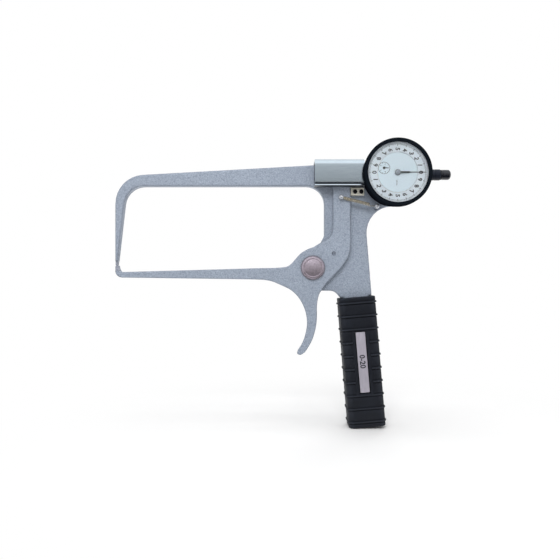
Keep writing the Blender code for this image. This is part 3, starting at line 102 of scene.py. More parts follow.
class Finish:
    """A material on the Principled shader, with short ways to add its nodes."""

    def __init__(self, name):
        self.material = bpy.data.materials.new(name)
        self.material.use_nodes = True
        tree = self.material.node_tree
        self.nodes, self.links = tree.nodes, tree.links
        self.shader = self.nodes["Principled BSDF"]
        self.place = self.nodes.new("ShaderNodeTexCoord").outputs["Object"]

    def set(self, **values):
        self.fill(
            (self.shader.inputs[name.replace("_", " ")], value) for name, value in values.items()
        )

    def fill(self, pairs):
        """Links or sets each socket of a list of (socket, value)."""
        for socket, value in pairs:
            if isinstance(value, bpy.types.NodeSocket):
                self.links.new(value, socket)
            else:
                socket.default_value = value

    def node(self, kind, **inputs):
        made = self.nodes.new(kind)
        self.fill((made.inputs[name], value) for name, value in inputs.items())
        return made

    def stretched(self, *scale):
        return self.node("ShaderNodeMapping", Vector=self.place, Scale=scale).outputs[0]

    def noise(self, scale, detail=2.0, roughness=0.5, place=None, distortion=0.0):
        made = self.node(
            "ShaderNodeTexNoise", Vector=place or self.place, Scale=scale, Detail=detail,
            Roughness=roughness, Distortion=distortion,
        )
        return made.outputs["Fac"]

    def cells(self, scale, feature):
        made = self.node("ShaderNodeTexVoronoi", Vector=self.place, Scale=scale)
        made.feature = feature
        return made.outputs["Distance"]

    def math(self, operation, a, b=0.0, clamp=False):
        made = self.nodes.new("ShaderNodeMath")
        made.operation = operation
        made.use_clamp = clamp
        self.fill(zip(made.inputs, (a, b)))
        return made.outputs[0]

    def spread(self, value, low, high, to_low=0.0, to_high=1.0):
        made = self.node("ShaderNodeMapRange", Value=value)
        for name, number in (
            ("From Min", low), ("From Max", high), ("To Min", to_low), ("To Max", to_high),
        ):
            made.inputs[name].default_value = number
        return made.outputs[0]

    def ramp(self, value, *stops):
        made = self.node("ShaderNodeValToRGB", Fac=value)
        elements = made.color_ramp.elements
        while len(elements) < len(stops):
            elements.new(0.5)
        for element, (position, colour) in zip(elements, stops):
            element.position = position
            element.color = colour
        return made.outputs[0]

    def mix(self, share, first, second):
        made = self.nodes.new("ShaderNodeMix")
        made.data_type = "RGBA"
        self.fill(((made.inputs[0], share), (made.inputs[6], first), (made.inputs[7], second)))
        return made.outputs[2]

    def bump(self, height, strength, distance):
        made = self.node("ShaderNodeBump", Height=height, Strength=strength, Distance=distance)
        return made.outputs[0]

    def pointed(self):
        """How sharply the surface turns outwards at each point, 0.5 where it is flat."""
        return self.nodes.new("ShaderNodeNewGeometry").outputs["Pointiness"]

    def off_axis(self, centre, axes=(0, 2)):
        """Distance in metres from an axis through a point, along two of the coordinates."""
        split = self.node("ShaderNodeSeparateXYZ", Vector=self.place)
        parts = [self.math("SUBTRACT", split.outputs[i], centre[i]) for i in axes]
        squares = [self.math("MULTIPLY", part, part) for part in parts]
        return self.math("SQRT", self.math("ADD", *squares))


def hammered_paint():
    """Hammered casting paint: fine dimples with dark seams, pale flecks, and painted shade darkening its
    convex edges.
    """
    made = Finish("hammered_paint")
    seam = made.cells(900.0, "SMOOTH_F1")
    fleck = made.noise(2600.0, 2.0, 0.6)
    patch = made.noise(1000.0, 3.0, 0.65, distortion=1.2)
    broad = made.noise(26.0, 2.0)
    tone = made.math("ADD", made.math("MULTIPLY", patch, 0.6), made.math("MULTIPLY", fleck, 0.4))
    colour = made.ramp(
        tone, (0.33, srgb(104, 112, 126)), (0.47, srgb(147, 157, 172)), (0.64, srgb(180, 190, 204))
    )
    colour = made.mix(made.spread(seam, 0.45, 0.75, 0.0, 0.4), colour, srgb(112, 120, 134))
    colour = made.mix(made.spread(broad, 0.35, 0.65, 0.0, 0.25), colour, srgb(140, 149, 164))
    # Painted shade: convex edges, found by pointiness, are darkened patchily towards a dark grey-blue.
    edge = made.spread(made.pointed(), 0.515, 0.57)
    painted_edge_shade = made.math("MULTIPLY", edge, made.spread(patch, 0.3, 0.6, 0.5, 0.9), clamp=True)
    colour = made.mix(painted_edge_shade, colour, srgb(104, 110, 123))
    height = made.math("SUBTRACT", made.math("MULTIPLY", patch, 0.6), made.math("MULTIPLY", seam, 0.8))
    made.set(
        Base_Color=colour,
        Metallic=0.2,
        Roughness=made.spread(patch, 0.3, 0.7, 0.38, 0.55),
        Normal=made.bump(height, 0.5, 0.0002),
    )
    made.shader.inputs["Coat Weight"].default_value = 0.2
    made.shader.inputs["Coat Roughness"].default_value = 0.25
    return made.material


def metal(
    name, colour, dark, roughness, grain=(1.0, 1.0, 1.0), grain_scale=900.0, bump=0.08, bare=1.0
):
    """Bare or plated metal with a directional grain and slightly uneven polish."""
    made = Finish(name)
    lines = made.noise(grain_scale, 3.0, 0.6, made.stretched(*grain))
    cloud = made.noise(90.0, 2.0)
    made.set(
        Base_Color=made.mix(made.spread(lines, 0.3, 0.7), dark, colour),
        Metallic=bare,
        Roughness=made.spread(
            made.math("ADD", made.math("MULTIPLY", lines, 0.6), made.math("MULTIPLY", cloud, 0.4)),
            0.3, 0.7, roughness * 0.8, roughness * 1.25,
        ),
        Normal=made.bump(lines, bump, 0.00005),
    )
    return made.material


def turned_metal(name, colour, dark, roughness, centre, axes=(0, 2), bare=1.0):
    """Metal with the fine rings that a lathe leaves round an axis."""
    made = Finish(name)
    radius = made.off_axis(centre, axes)
    wobble = made.noise(160.0, 2.0)
    count = made.math("ADD", made.math("MULTIPLY", radius, 14000.0), made.math("MULTIPLY", wobble, 2.5))
    rings = made.math("SINE", count)
    cloud = made.noise(700.0, 3.0, 0.6)
    tone = made.math("ADD", made.math("MULTIPLY", rings, 0.12), cloud)
    made.set(
        Base_Color=made.mix(made.spread(tone, 0.3, 0.7), dark, colour),
        Metallic=bare,
        Roughness=made.spread(cloud, 0.3, 0.7, roughness * 0.85, roughness * 1.2),
        Normal=made.bump(rings, 0.1, 0.00004),
    )
    return made.material


def black_finish(name, colour, pale, roughness, bump=0.12, shine=0.3):
    """Black coating with a fine grain and faint paler wear."""
    made = Finish(name)
    grain = made.noise(1500.0, 3.0, 0.6)
    cloud = made.noise(70.0, 2.0)
    made.set(
        Base_Color=made.mix(made.spread(grain, 0.35, 0.75, 0.0, 0.5), colour, pale),
        Metallic=0.0,
        Roughness=made.spread(cloud, 0.3, 0.7, roughness * 0.85, roughness * 1.2),
        Normal=made.bump(grain, bump, 0.00006),
    )
    made.shader.inputs["Specular IOR Level"].default_value = shine
    return made.material


def moulded_rubber():
    """Moulded black rubber: matt grain, with painted shade darkening the hollows and a painted highlight
    paling the convex edges.
    """
    made = Finish("moulded_rubber")
    grain = made.noise(2600.0, 3.0, 0.65)
    leather = made.cells(1500.0, "F1")
    cloud = made.noise(60.0, 3.0, 0.6)
    dust = made.spread(cloud, 0.45, 0.75, 0.0, 0.35)
    colour = made.mix(made.spread(grain, 0.3, 0.7), srgb(16, 18, 23), srgb(32, 35, 43))
    colour = made.mix(dust, colour, srgb(38, 43, 52))
    turned = made.pointed()
    # Painted shade: concave places, found by pointiness, go nearly black.
    colour = made.mix(made.spread(turned, 0.495, 0.44, 0.0, 0.9), colour, srgb(4, 5, 7))
    # Painted highlight: convex rib edges, found by pointiness, go paler.
    colour = made.mix(made.spread(turned, 0.52, 0.58, 0.0, 0.6), colour, srgb(56, 60, 69))
    height = made.math("ADD", made.math("MULTIPLY", grain, 0.6), made.math("MULTIPLY", leather, 0.4))
    made.set(
        Base_Color=colour,
        Roughness=made.spread(cloud, 0.3, 0.7, 0.5, 0.68),
        Normal=made.bump(height, 0.25, 0.00012),
    )
    made.shader.inputs["Specular IOR Level"].default_value = 0.2
    return made.material


def dial_face(name, colour, shade):
    """Satin lacquered dial: nearly even, with the faintest mottle."""
    made = Finish(name)
    mottle = made.noise(900.0, 3.0, 0.6)
    cloud = made.noise(45.0, 2.0)
    made.set(
        Base_Color=made.mix(
            made.spread(made.math("ADD", mottle, cloud), 0.6, 1.4), shade, colour
        ),
        Roughness=made.spread(mottle, 0.3, 0.7, 0.4, 0.52),
        Normal=made.bump(mottle, 0.05, 0.00004),
    )
    return made.material


def pointer_finish(name, centre, hub_radius):
    """Turned hub metal that darkens to black past the hub's edge."""
    made = Finish(name)
    radius = made.off_axis(centre)
    grain = made.noise(2500.0, 2.0)
    hub = made.spread(radius, hub_radius - 0.0003, hub_radius + 0.0002, 1.0, 0.0)
    bare = made.mix(made.spread(grain, 0.3, 0.7), srgb(112, 118, 126), srgb(150, 156, 164))
    black = made.mix(made.spread(grain, 0.3, 0.7), srgb(30, 32, 38), srgb(52, 54, 62))
    rings = made.math("SINE", made.math("MULTIPLY", radius, 16000.0))
    made.set(
        Base_Color=made.mix(hub, black, bare),
        Metallic=made.math("MULTIPLY", hub, 0.5),
        Roughness=made.spread(grain, 0.3, 0.7, 0.38, 0.5),
        Normal=made.bump(rings, 0.06, 0.00003),
    )
    return made.material


def ink(name, colour, pale):
    made = Finish(name)
    grain = made.noise(5000.0, 2.0)
    made.set(
        Base_Color=made.mix(made.spread(grain, 0.3, 0.7, 0.0, 0.6), colour, pale),
        Roughness=made.spread(grain, 0.3, 0.7, 0.45, 0.6),
    )
    return made.material


def clear_crystal():
    made = Finish("clear_crystal")
    smear = made.noise(40.0, 2.0)
    made.set(
        Base_Color=srgb(250, 252, 253),
        Roughness=made.spread(smear, 0.3, 0.7, 0.0, 0.03),
        IOR=1.46,
    )
    made.shader.inputs["Transmission Weight"].default_value = 1.0
    return made.material


# Meshes


def mesh_object(name, verts, faces, smooth=True):
    mesh = bpy.data.meshes.new(name)
    mesh.from_pydata([tuple(v) for v in verts], [], faces)
    mesh.validate()
    shape = bmesh.new()
    shape.from_mesh(mesh)
    bmesh.ops.remove_doubles(shape, verts=shape.verts, dist=1e-7)
    bmesh.ops.recalc_face_normals(shape, faces=shape.faces)
    shape.to_mesh(mesh)
    shape.free()
    if smooth:
        mesh.shade_smooth()
        mesh.set_sharp_from_angle(angle=math.radians(32.0))
    obj = bpy.data.objects.new(name, mesh)
    bpy.context.scene.collection.objects.link(obj)
    return obj


def soften(obj, width, clamp=False):
    """Rounds an object's edges and evens the shading of its flats."""
    bevel = obj.modifiers.new("Rounded edges", "BEVEL")
    bevel.width = width * MM
    bevel.segments = 2
    bevel.limit_method = "ANGLE"
    bevel.angle_limit = math.radians(30.0)
    bevel.use_clamp_overlap = clamp
    normals = obj.modifiers.new("Even shading", "WEIGHTED_NORMAL")
    normals.weight = 50
    normals.keep_sharp = False


def joined(node):
    """Joins the CAD mesh's loose faces."""
    weld = node.modifiers.new("Joined faces", "WELD")
    weld.merge_threshold = 0.002 * MM


def dress(name, material, width=0.0):
    """Gives a CAD node its material and, if asked, rounded edges."""
    node = NODES[name]
    if node.material_slots:
        for slot in node.material_slots:
            slot.material = material
    else:
        node.data.materials.append(material)
    joined(node)
    flat = node.modifiers.new("Whole flats", "DECIMATE")
    flat.decimate_type = "DISSOLVE"
    flat.angle_limit = math.radians(0.6)
    if width:
        soften(node, width, clamp=True)
    else:
        normals = node.modifiers.new("Even shading", "WEIGHTED_NORMAL")
        normals.weight = 50


def cast(name, material, voxel):
    """Gives a CAD node the rounded edges of a casting, and its material."""
    node = NODES[name]
    for slot in node.material_slots:
        slot.material = material
    joined(node)
    remesh = node.modifiers.new("Even skin", "REMESH")
    remesh.mode = "VOXEL"
    remesh.voxel_size = voxel * MM
    remesh.use_smooth_shade = True
    ease = node.modifiers.new("Rounded edges", "SMOOTH")
    ease.factor = 0.5
    ease.iterations = 6


def piece(obj, body, material, slot_name, *replaced):
    """Hands a finished piece to its CAD body."""
    obj.data.materials.clear()
    obj.data.materials.append(material)
    if replaced:
        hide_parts(*replaced)
    if body:
        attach(obj, body)


def lathe(name, centre, profile, axis="front", steps=96, ring=False):
    """A profile of (radius, height) in millimetres turned about an axis through a place.

    Along the front axis the heights run forward, and along the spindle axis they run right.
    """
    verts, faces = [], []
    for radius, height in profile:
        for step in range(steps):
            turn = math.tau * step / steps
            side, up = radius * math.cos(turn), radius * math.sin(turn)
            if axis == "front":
                verts.append(at(centre[0] + side, centre[1] + up, height))
            else:
                verts.append(at(height, centre[1] + up, centre[0] + side))
    rows = len(profile)
    for row in range(rows if ring else rows - 1):
        below, above = row * steps, (row + 1) % rows * steps
        for step in range(steps):
            after = (step + 1) % steps
            faces.append((below + step, below + after, above + after, above + step))
    return mesh_object(name, verts, faces)


def on_circle(centre, radius, angle):
    return (centre[0] + radius * math.cos(angle), centre[1] + radius * math.sin(angle))


def arc_points(centre, radius, start, end, steps):
    """Points of an arc between two angles in degrees."""
    angles = np.linspace(math.radians(start), math.radians(end), steps + 1)
    return [on_circle(centre, radius, angle) for angle in angles]


def prism(name, outline, start, end, to_place):
    """An outline swept straight between two depths, through a function that places a point."""
    verts = [to_place(*p, start) for p in outline] + [to_place(*p, end) for p in outline]
    count = len(outline)
    faces = [tuple(range(count)), tuple(range(2 * count - 1, count - 1, -1))]
    for i in range(count):
        j = (i + 1) % count
        faces.append((i, count + i, count + j, j))
    return mesh_object(name, verts, faces)


def tube_along(name, points, radius, sides):
    """A round wire that follows a list of places."""
    places = [Vector(p) for p in points]
    verts, faces = [], []
    across = Vector((0.0, 1.0, 0.0))
    for index, place in enumerate(places):
        before = places[max(index - 1, 0)]
        after = places[min(index + 1, len(places) - 1)]
        along = (after - before).normalized()
        across = (across - along * across.dot(along)).normalized()
        beside = along.cross(across)
        for side in range(sides):
            turn = math.tau * side / sides
            verts.append(place + radius * MM * (across * math.cos(turn) + beside * math.sin(turn)))
    for ring in range(len(places) - 1):
        low, high = ring * sides, (ring + 1) * sides
        for side in range(sides):
            after = (side + 1) % sides
            faces.append((low + side, low + after, high + after, high + side))
    faces.append(tuple(range(sides)))
    faces.append(tuple(range((len(places) - 1) * sides, len(places) * sides)))
    return mesh_object(name, verts, faces)


def text_faces(words, height, middle, up, forward, bold, thickness=INK_THICKNESS):
    """Vertices and faces of a printed word, standing up along a direction in the dial's plane."""
    curve = bpy.data.curves.new("printed", "FONT")
    curve.body = words
    curve.size = height / 0.72
    curve.align_x = "CENTER"
    curve.extrude = thickness / 2
    curve.resolution_u = 3
    curve.offset = bold * height
    obj = bpy.data.objects.new("printed", curve)
    bpy.context.scene.collection.objects.link(obj)
    graph = bpy.context.evaluated_depsgraph_get()
    mesh = bpy.data.meshes.new_from_object(obj.evaluated_get(graph))
    bpy.data.objects.remove(obj)
    bpy.data.curves.remove(curve)
    raw = np.array([v.co for v in mesh.vertices], float)
    raw[:, 0] -= (raw[:, 0].min() + raw[:, 0].max()) / 2
    raw[:, 1] -= (raw[:, 1].min() + raw[:, 1].max()) / 2
    along_up = Vector((math.cos(up), math.sin(up)))
    along_right = Vector((along_up.y, -along_up.x))
    verts = []
    for x, y, depth in raw:
        spot = Vector(middle) + along_right * x + along_up * y
        verts.append(at(spot.x, spot.y, forward + depth))
    faces = [tuple(p.vertices) for p in mesh.polygons]
    bpy.data.meshes.remove(mesh)
    return verts, faces


def tick_faces(middle, angle, inner, outer, width, forward):
    """A short printed line between two radii."""
    out = Vector((math.cos(angle), math.sin(angle)))
    side = Vector((-out.y, out.x)) * width / 2
    base = Vector(middle)
    flat = [
        base + out * inner - side, base + out * outer - side,
        base + out * outer + side, base + out * inner + side,
    ]
    depths = (-INK_THICKNESS / 2, INK_THICKNESS / 2)
    verts = [at(p.x, p.y, forward + depth) for depth in depths for p in flat]
    faces = [(0, 1, 2, 3), (7, 6, 5, 4)]
    faces += [(i, 4 + i, 4 + (i + 1) % 4, (i + 1) % 4) for i in range(4)]
    return verts, faces


def gathered(name, parts):
    """One mesh from many lists of vertices and faces."""
    verts, faces = [], []
    for part_verts, part_faces in parts:
        start = len(verts)
        verts += part_verts
        faces += [tuple(start + i for i in face) for face in part_faces]
    return mesh_object(name, verts, faces, smooth=False)


# Dial


def make_dial(finishes):
    black, pale = finishes["black"], finishes["spacer"]
    bezel = lathe(
        "bezel_ring", DIAL,
        [
            (27.0, 20.6), *arc_points((26.0, 27.0), 1.0, 0, 90, 6),
            *arc_points((24.4, 27.5), 0.5, 90, 180, 4), (23.9, 26.8), (24.9, 26.8), (24.9, 23.0),
            (25.3, 22.85), (25.3, 20.5), (25.5, 20.3), (26.7, 20.3),
        ],
        ring=True, steps=144,
    )
    piece(bezel, "bezel_body", black, "black_metal", "bezel")
    glass = lathe(
        "crystal_disc", DIAL,
        [(0.0, 26.5), (24.25, 26.5), (24.4, 26.35), (24.4, 25.45), (24.25, 25.3), (0.0, 25.3)],
        steps=144,
    )
    piece(glass, "bezel_body", finishes["crystal"], "crystal", "crystal")
    spacer = lathe(
        "spacer_band", DIAL,
        [(23.1, 25.0), (24.4, 25.0), (24.4, 23.95), (23.3, 23.95), (23.0, 24.2), (23.0, 24.9)],
        ring=True, steps=144,
    )
    piece(spacer, "bezel_body", pale, "pale_plastic", "spacer_ring")
    ring = lathe(
        "scale_band", DIAL,
        [
            (SCALE_BORE + 0.06, SCALE_FRONT), (24.4, SCALE_FRONT), (24.4, 23.0),
            (SCALE_BORE + 0.4, 23.0), (SCALE_BORE + 0.4, 22.72), (15.86, 22.72), (15.86, 22.95),
            (SCALE_BORE, 22.95), (SCALE_BORE, SCALE_FRONT - 0.06),
        ],
        ring=True, steps=144,
    )
    piece(ring, "bezel_body", finishes["face"], "dial_white", "scale_ring")
    dress("dial_plate", finishes["plate"])


def make_scale(finishes):
    """Rim ticks and two runs of numerals, read with the dial's top to the right."""
    tick_end, numeral_ring, numeral_height = 22.85, 18.5, 3.35
    ticks = []
    for index in range(200):
        angle = math.tau * index / 200
        inner, width = (21.1, 0.42) if index % 10 == 0 else (21.7, 0.2)
        ticks.append(tick_faces(DIAL, angle, inner, tick_end, width, SCALE_FRONT))
    piece(gathered("scale_ticks", ticks), "bezel_body", finishes["ink"], "pointer_black")
    numerals = []
    for index in range(20):
        angle = math.tau * index / 20
        spot = on_circle(DIAL, numeral_ring, angle)
        numerals.append(text_faces(str(index % 10), numeral_height, spot, 0.0, SCALE_FRONT, 0.055))
    piece(gathered("scale_numerals", numerals), "bezel_body", finishes["ink"], "pointer_black")


def make_counter_scale(finishes):
    """The turn counter's ring, ticks and numerals, and the dial's graduation value."""
    ring_inner, ring, ring_outer, numeral_ring, numeral_height = 4.58, 4.72, 4.8, 3.0, 1.0
    ticks = []
    for index in range(20):
        inner = 3.7 if index % 2 == 0 else 4.1
        ticks.append(tick_faces(COUNTER, math.tau * index / 20, inner, ring, 0.34, FACE_FRONT))
    step = math.tau / 60
    for index in range(60):
        middle = step * (index + 0.5)
        ticks.append(tick_faces(COUNTER, middle, ring_inner, ring_outer, ring * step, FACE_FRONT))
    for index in range(5):
        spot = on_circle(COUNTER, numeral_ring, math.tau * index / 5)
        ticks.append(text_faces(str(2 * index), numeral_height, spot, 0.0, FACE_FRONT, 0.02))
    piece(gathered("counter_scale", ticks), "frame_body", finishes["ink"], "pointer_black")
    words = text_faces("0.01mm", numeral_height, (DIAL[0] - 0.6, DIAL[1] - 8.2), 0.0, FACE_FRONT, 0.02)
    piece(gathered("graduation_value", [words]), "frame_body", finishes["ink"], "pointer_black")


def make_counter_needle(finishes):
    """The short hand of the turn counter, with a small black hub."""
    low = 23.95
    outline = [(0.0, -0.42), (1.2, -0.36), (3.9, -0.14), (3.9, 0.14), (1.2, 0.36), (0.0, 0.42)]

    def on_counter(x, z, forward):
        return at(COUNTER[0] + x, COUNTER[1] + z, forward)

    needle = prism("short_needle", outline, low, low + 0.25, on_counter)
    piece(needle, "counter_pointer_body", finishes["needle"], "pointer_black", "counter_pointer")
    hub = lathe(
        "short_needle_hub", COUNTER,
        [(0.0, 24.35), (0.8, 24.35), (1.05, 24.15), (1.05, 23.9), (0.5, 23.9), (0.5, 14.6), (0.0, 14.6)],
        steps=32,
    )
    piece(hub, "counter_pointer_body", finishes["needle"], "pointer_black")


def make_needle(finishes):
    """The long hand: a stout root, a fine tip and a turned hub."""
    low = 24.45
    outline = [
        (0.0, -0.72), (8.6, -0.68), (10.6, -0.34), (22.3, -0.2), (22.3, 0.2), (10.6, 0.34),
        (8.6, 0.68), (0.0, 0.72),
    ]

    def on_dial(x, z, forward):
        return at(DIAL[0] + x, DIAL[1] + z, forward)

    needle = prism("long_needle", outline, low, low + 0.3, on_dial)
    piece(needle, "main_pointer_body", finishes["needle"], "pointer_black", "main_pointer")
    hub = lathe(
        "needle_hub", DIAL,
        [(0.0, 25.1), (0.9, 25.1), (1.05, 25.0), (2.1, 24.95), (2.35, 24.75), (2.4, 24.4), (0.6, 24.4),
         (0.6, 14.6), (0.0, 14.6)],
        steps=48,
    )
    piece(hub, "main_pointer_body", finishes["main_pointer"], "steel")


# Spindle line, cover and fixings


def make_spindle_line(finishes):
    """The black collar and the domed cap at the spindle's free end."""
    line = (SPINDLE_FORWARD, DIAL[1])
    collar = lathe(
        "stem_collar", line,
        [
            (2.4, 103.2), (3.9, 103.2), (4.45, 102.6), (4.45, 98.6), (4.25, 98.4), (4.25, 98.0),
            (4.45, 97.8), (4.45, 91.9), (4.0, 91.9), (4.0, 89.6), (2.4, 89.6),
        ],
        axis="right", ring=True, steps=64,
    )
    soften(collar, 0.12)
    piece(collar, "frame_body", finishes["collar"], "black_metal", "collar")
    cap_end = 111.8
    dome = [
        (4.05 * math.sin(a), cap_end - 2.4 + 2.4 * math.cos(a)) for a in np.linspace(0, math.pi / 2, 9)
    ]
    cap = lathe(
        "end_cap", line,
        [*dome, (4.05, 105.1), (3.85, 104.9), (3.85, 104.5), (4.05, 104.3), (4.05, 103.5), (2.4, 103.5),
         (2.4, 109.7), (0.0, 109.7)],
        axis="right", steps=64,
    )
    piece(cap, "frame_body", finishes["cap"], "black_metal", "dust_cap")


def make_tips(finishes):
    """The jaws' ends: a tapered point above and a rounded nub that grows out of the lower arm."""
    point = [
        (-163.2, 6.2), (-163.2, 2.6), (-163.05, 2.3), (-161.95, 2.3), (-161.75, 2.7), (-161.5, 5.0),
        (-161.4, 6.2),
    ]
    nub = [
        (-163.2, -3.2), *arc_points((-162.05, 1.08), 1.15, 180, 20, 9), (-160.8, 0.2),
        (-160.45, -0.9), (-159.8, -1.9), (-159.8, -3.2),
    ]
    for name, outline, half, body, node in (
        ("upper_tip_point", point, 2.7, "frame_body", "upper_contact_tip"),
        ("lower_tip_nub", nub, 3.4, "lever_body", "lower_contact_tip"),
    ):
        tip = prism(name, outline, -half, half, at)
        soften(tip, 0.2)
        piece(tip, body, finishes["tip"], "steel", node)


def cover_place(forward, up, x):
    return at(x, up, forward)


def make_cover(finishes):
    """The bent sheet over the spindle line: a faint crown, a joggled lower lip and an end wall, with
    painted shade in dark chrome on the end wall, under the lip and in the groove.
    """
    top, bottom, front, wall, bend = 87.4, 66.0, 20.0, 2.0, 4.4
    groove, groove_top, lip_front, lip_top = 18.2, 68.3, 19.4, 66.85
    back, back_end, fold_end, left, right = -6.3, 74.4, 10.6, 1.2, 41.0
    crown = [
        (front + 0.1 * math.cos(share * math.pi / 2), (top + bottom) / 2 + share * 6.0)
        for share in np.linspace(-1, 1, 9)
    ]
    outer = [
        (fold_end, bottom), (lip_front - 0.05, bottom), (lip_front, bottom + 0.1),
        (lip_front - 0.35, lip_top), (groove, lip_top), (groove, groove_top),
        *arc_points((front - 0.6, groove_top + 0.6), 0.6, -90, 0, 5), *crown[1:-1],
        *arc_points((front - bend, top - bend), bend, 0, 90, 8),
        *arc_points((back + bend, top - bend), bend, 90, 180, 8),
        (back, back_end),
    ]
    inner = [
        (back + wall, back_end), (back + wall, top - wall),
        *arc_points((front - bend, top - bend), bend - wall, 90, 0, 6),
        (front - wall, groove_top + 2.7), (groove - 1.5, groove_top + 1.1),
        (groove - 1.5, bottom + wall), (fold_end, bottom + wall),
    ]
    sheet = prism("cover_sheet", [*outer, *inner], left, right, cover_place)
    # Painted shade: the end wall, a skin under the lip and a strip in the groove are dark chrome that
    # stands in for the shadow under the cover and the dark reflection in its lower bend.
    end = [
        (4.3, bottom + 0.3), (groove - 0.2, bottom + 0.3), (groove - 0.2, groove_top + 0.3),
        (front - 0.4, groove_top + 0.9),
        *arc_points((front - bend, top - bend), bend - 0.3, 0, 90, 6), (4.3, top - 0.3),
    ]
    flange = [
        (8.0, bottom - 0.02), (lip_front - 0.3, bottom - 0.02), (lip_front - 0.3, bottom + 0.3),
        (8.0, bottom + 0.3),
    ]
    recess = [
        (groove - 0.1, lip_top + 0.02), (groove + 0.1, lip_top + 0.02),
        (groove + 0.1, groove_top - 0.02), (groove - 0.1, groove_top - 0.02),
    ]
    piece(sheet, "frame_body", finishes["chrome"], "chrome", "spindle_cover")
    for name, outline, far in (
        ("cover_end_wall", end, left + wall), ("cover_underside_shade", flange, right - 0.2),
        ("cover_groove_shade", recess, right - 0.2),
    ):
        shaded = prism(name, outline, left + 0.15, far, cover_place)
        piece(shaded, "frame_body", finishes["cover_end"], "chrome")


def make_pivot(finishes):
    """The pivot screw's domed head with its rolled rim, and the washer under it."""
    head, crown, flat, under, shank = 9.3, 1.2, 6.9, 11.6, 4.0
    dome = [(flat * share, 15.0 - crown * share * share) for share in np.linspace(0.0, 1.0, 10)]
    dome += [(7.05, 13.6), (7.2, 13.65)]
    dome += arc_points((head - 2.1, 11.75), 2.1, 80, 0, 9)
    screw = lathe(
        "pivot_head", (0.0, 0.0), [*dome, (head, under), (shank, under), (shank, -9.1), (0.0, -9.1)]
    )
    piece(screw, "frame_body", finishes["pivot"], "steel", "pivot_screw")
    washer = lathe(
        "pivot_ring", (0.0, 0.0), [(4.3, 11.3), (10.0, 11.3), (10.0, 10.3), (4.3, 10.3)], ring=True
    )
    piece(washer, "frame_body", finishes["washer"], "steel", "pivot_washer")


def post(name, place, base, node, body, finish):
    """A ball-headed post with a neck for the spring's eye."""
    shoulder, neck_top, ball = 11.0, 12.2, 1.85
    centre = neck_top + ball * math.cos(math.radians(35.0))
    head = [
        (ball * math.sin(a), centre + ball * math.cos(a))
        for a in np.linspace(0.0, math.radians(145.0), 12)
    ]
    profile = [
        *head, (0.75, neck_top), (0.75, shoulder), (1.4, shoulder), (1.4, base), (0.9, base),
        (0.9, base - 4.0), (0.0, base - 4.0),
    ]
    piece(lathe(name, place, profile, steps=32), body, finish, "steel", node)


def make_spring(finishes):
    """The close-wound return spring with an eye round each post."""
    start, end = Vector(LEVER_POST), Vector(FRAME_POST)
    span = (end - start).length
    right = (end - start).normalized()
    up = Vector((-right.y, right.x))
    wire, coil, pitch, eye = 0.28, 1.2, 0.64, 1.5
    first, wound_length = 2.3, 21.9
    turns, turn_steps = round(wound_length / pitch), 14
    loop = np.linspace(math.radians(-300.0), 0.0, 20)
    left_eye = [(eye * math.cos(a), eye * math.sin(a), 0.0) for a in loop]
    lead = [(eye + (first - eye) * share, coil * share * share, 0.0) for share in (0.35, 0.7)]
    wound = []
    for step in range(turns * turn_steps + 1):
        turn = math.tau * step / turn_steps
        along = first + step / turn_steps * pitch
        wound.append((along, coil * math.cos(turn), coil * math.sin(turn)))
    far = [(span - a, -b, c) for a, b, c in reversed(left_eye)]
    line = [*left_eye, *lead, *wound[:-7], *far]
    points = []
    for along, side, forward in line:
        spot = start + right * along + up * side
        points.append(at(spot.x, spot.y, SPRING_FORWARD + forward))
    spring = tube_along("return_spring", points, wire, 8)
    piece(spring, None, finishes["spring"], "spring_steel", "lever_spring")
    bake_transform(spring)


def grip_directions():
    """Down the leaning grip and right across it."""
    down = Vector((math.sin(GRIP_LEAN), -math.cos(GRIP_LEAN)))
    return down, Vector((-down.y, down.x))


def on_grip(across, along, forward):
    """A place by its distances right of and down the grip's axis."""
    down, right = grip_directions()
    spot = right * across + down * along
    return Vector((spot.x * MM, -forward * MM, spot.y * MM))


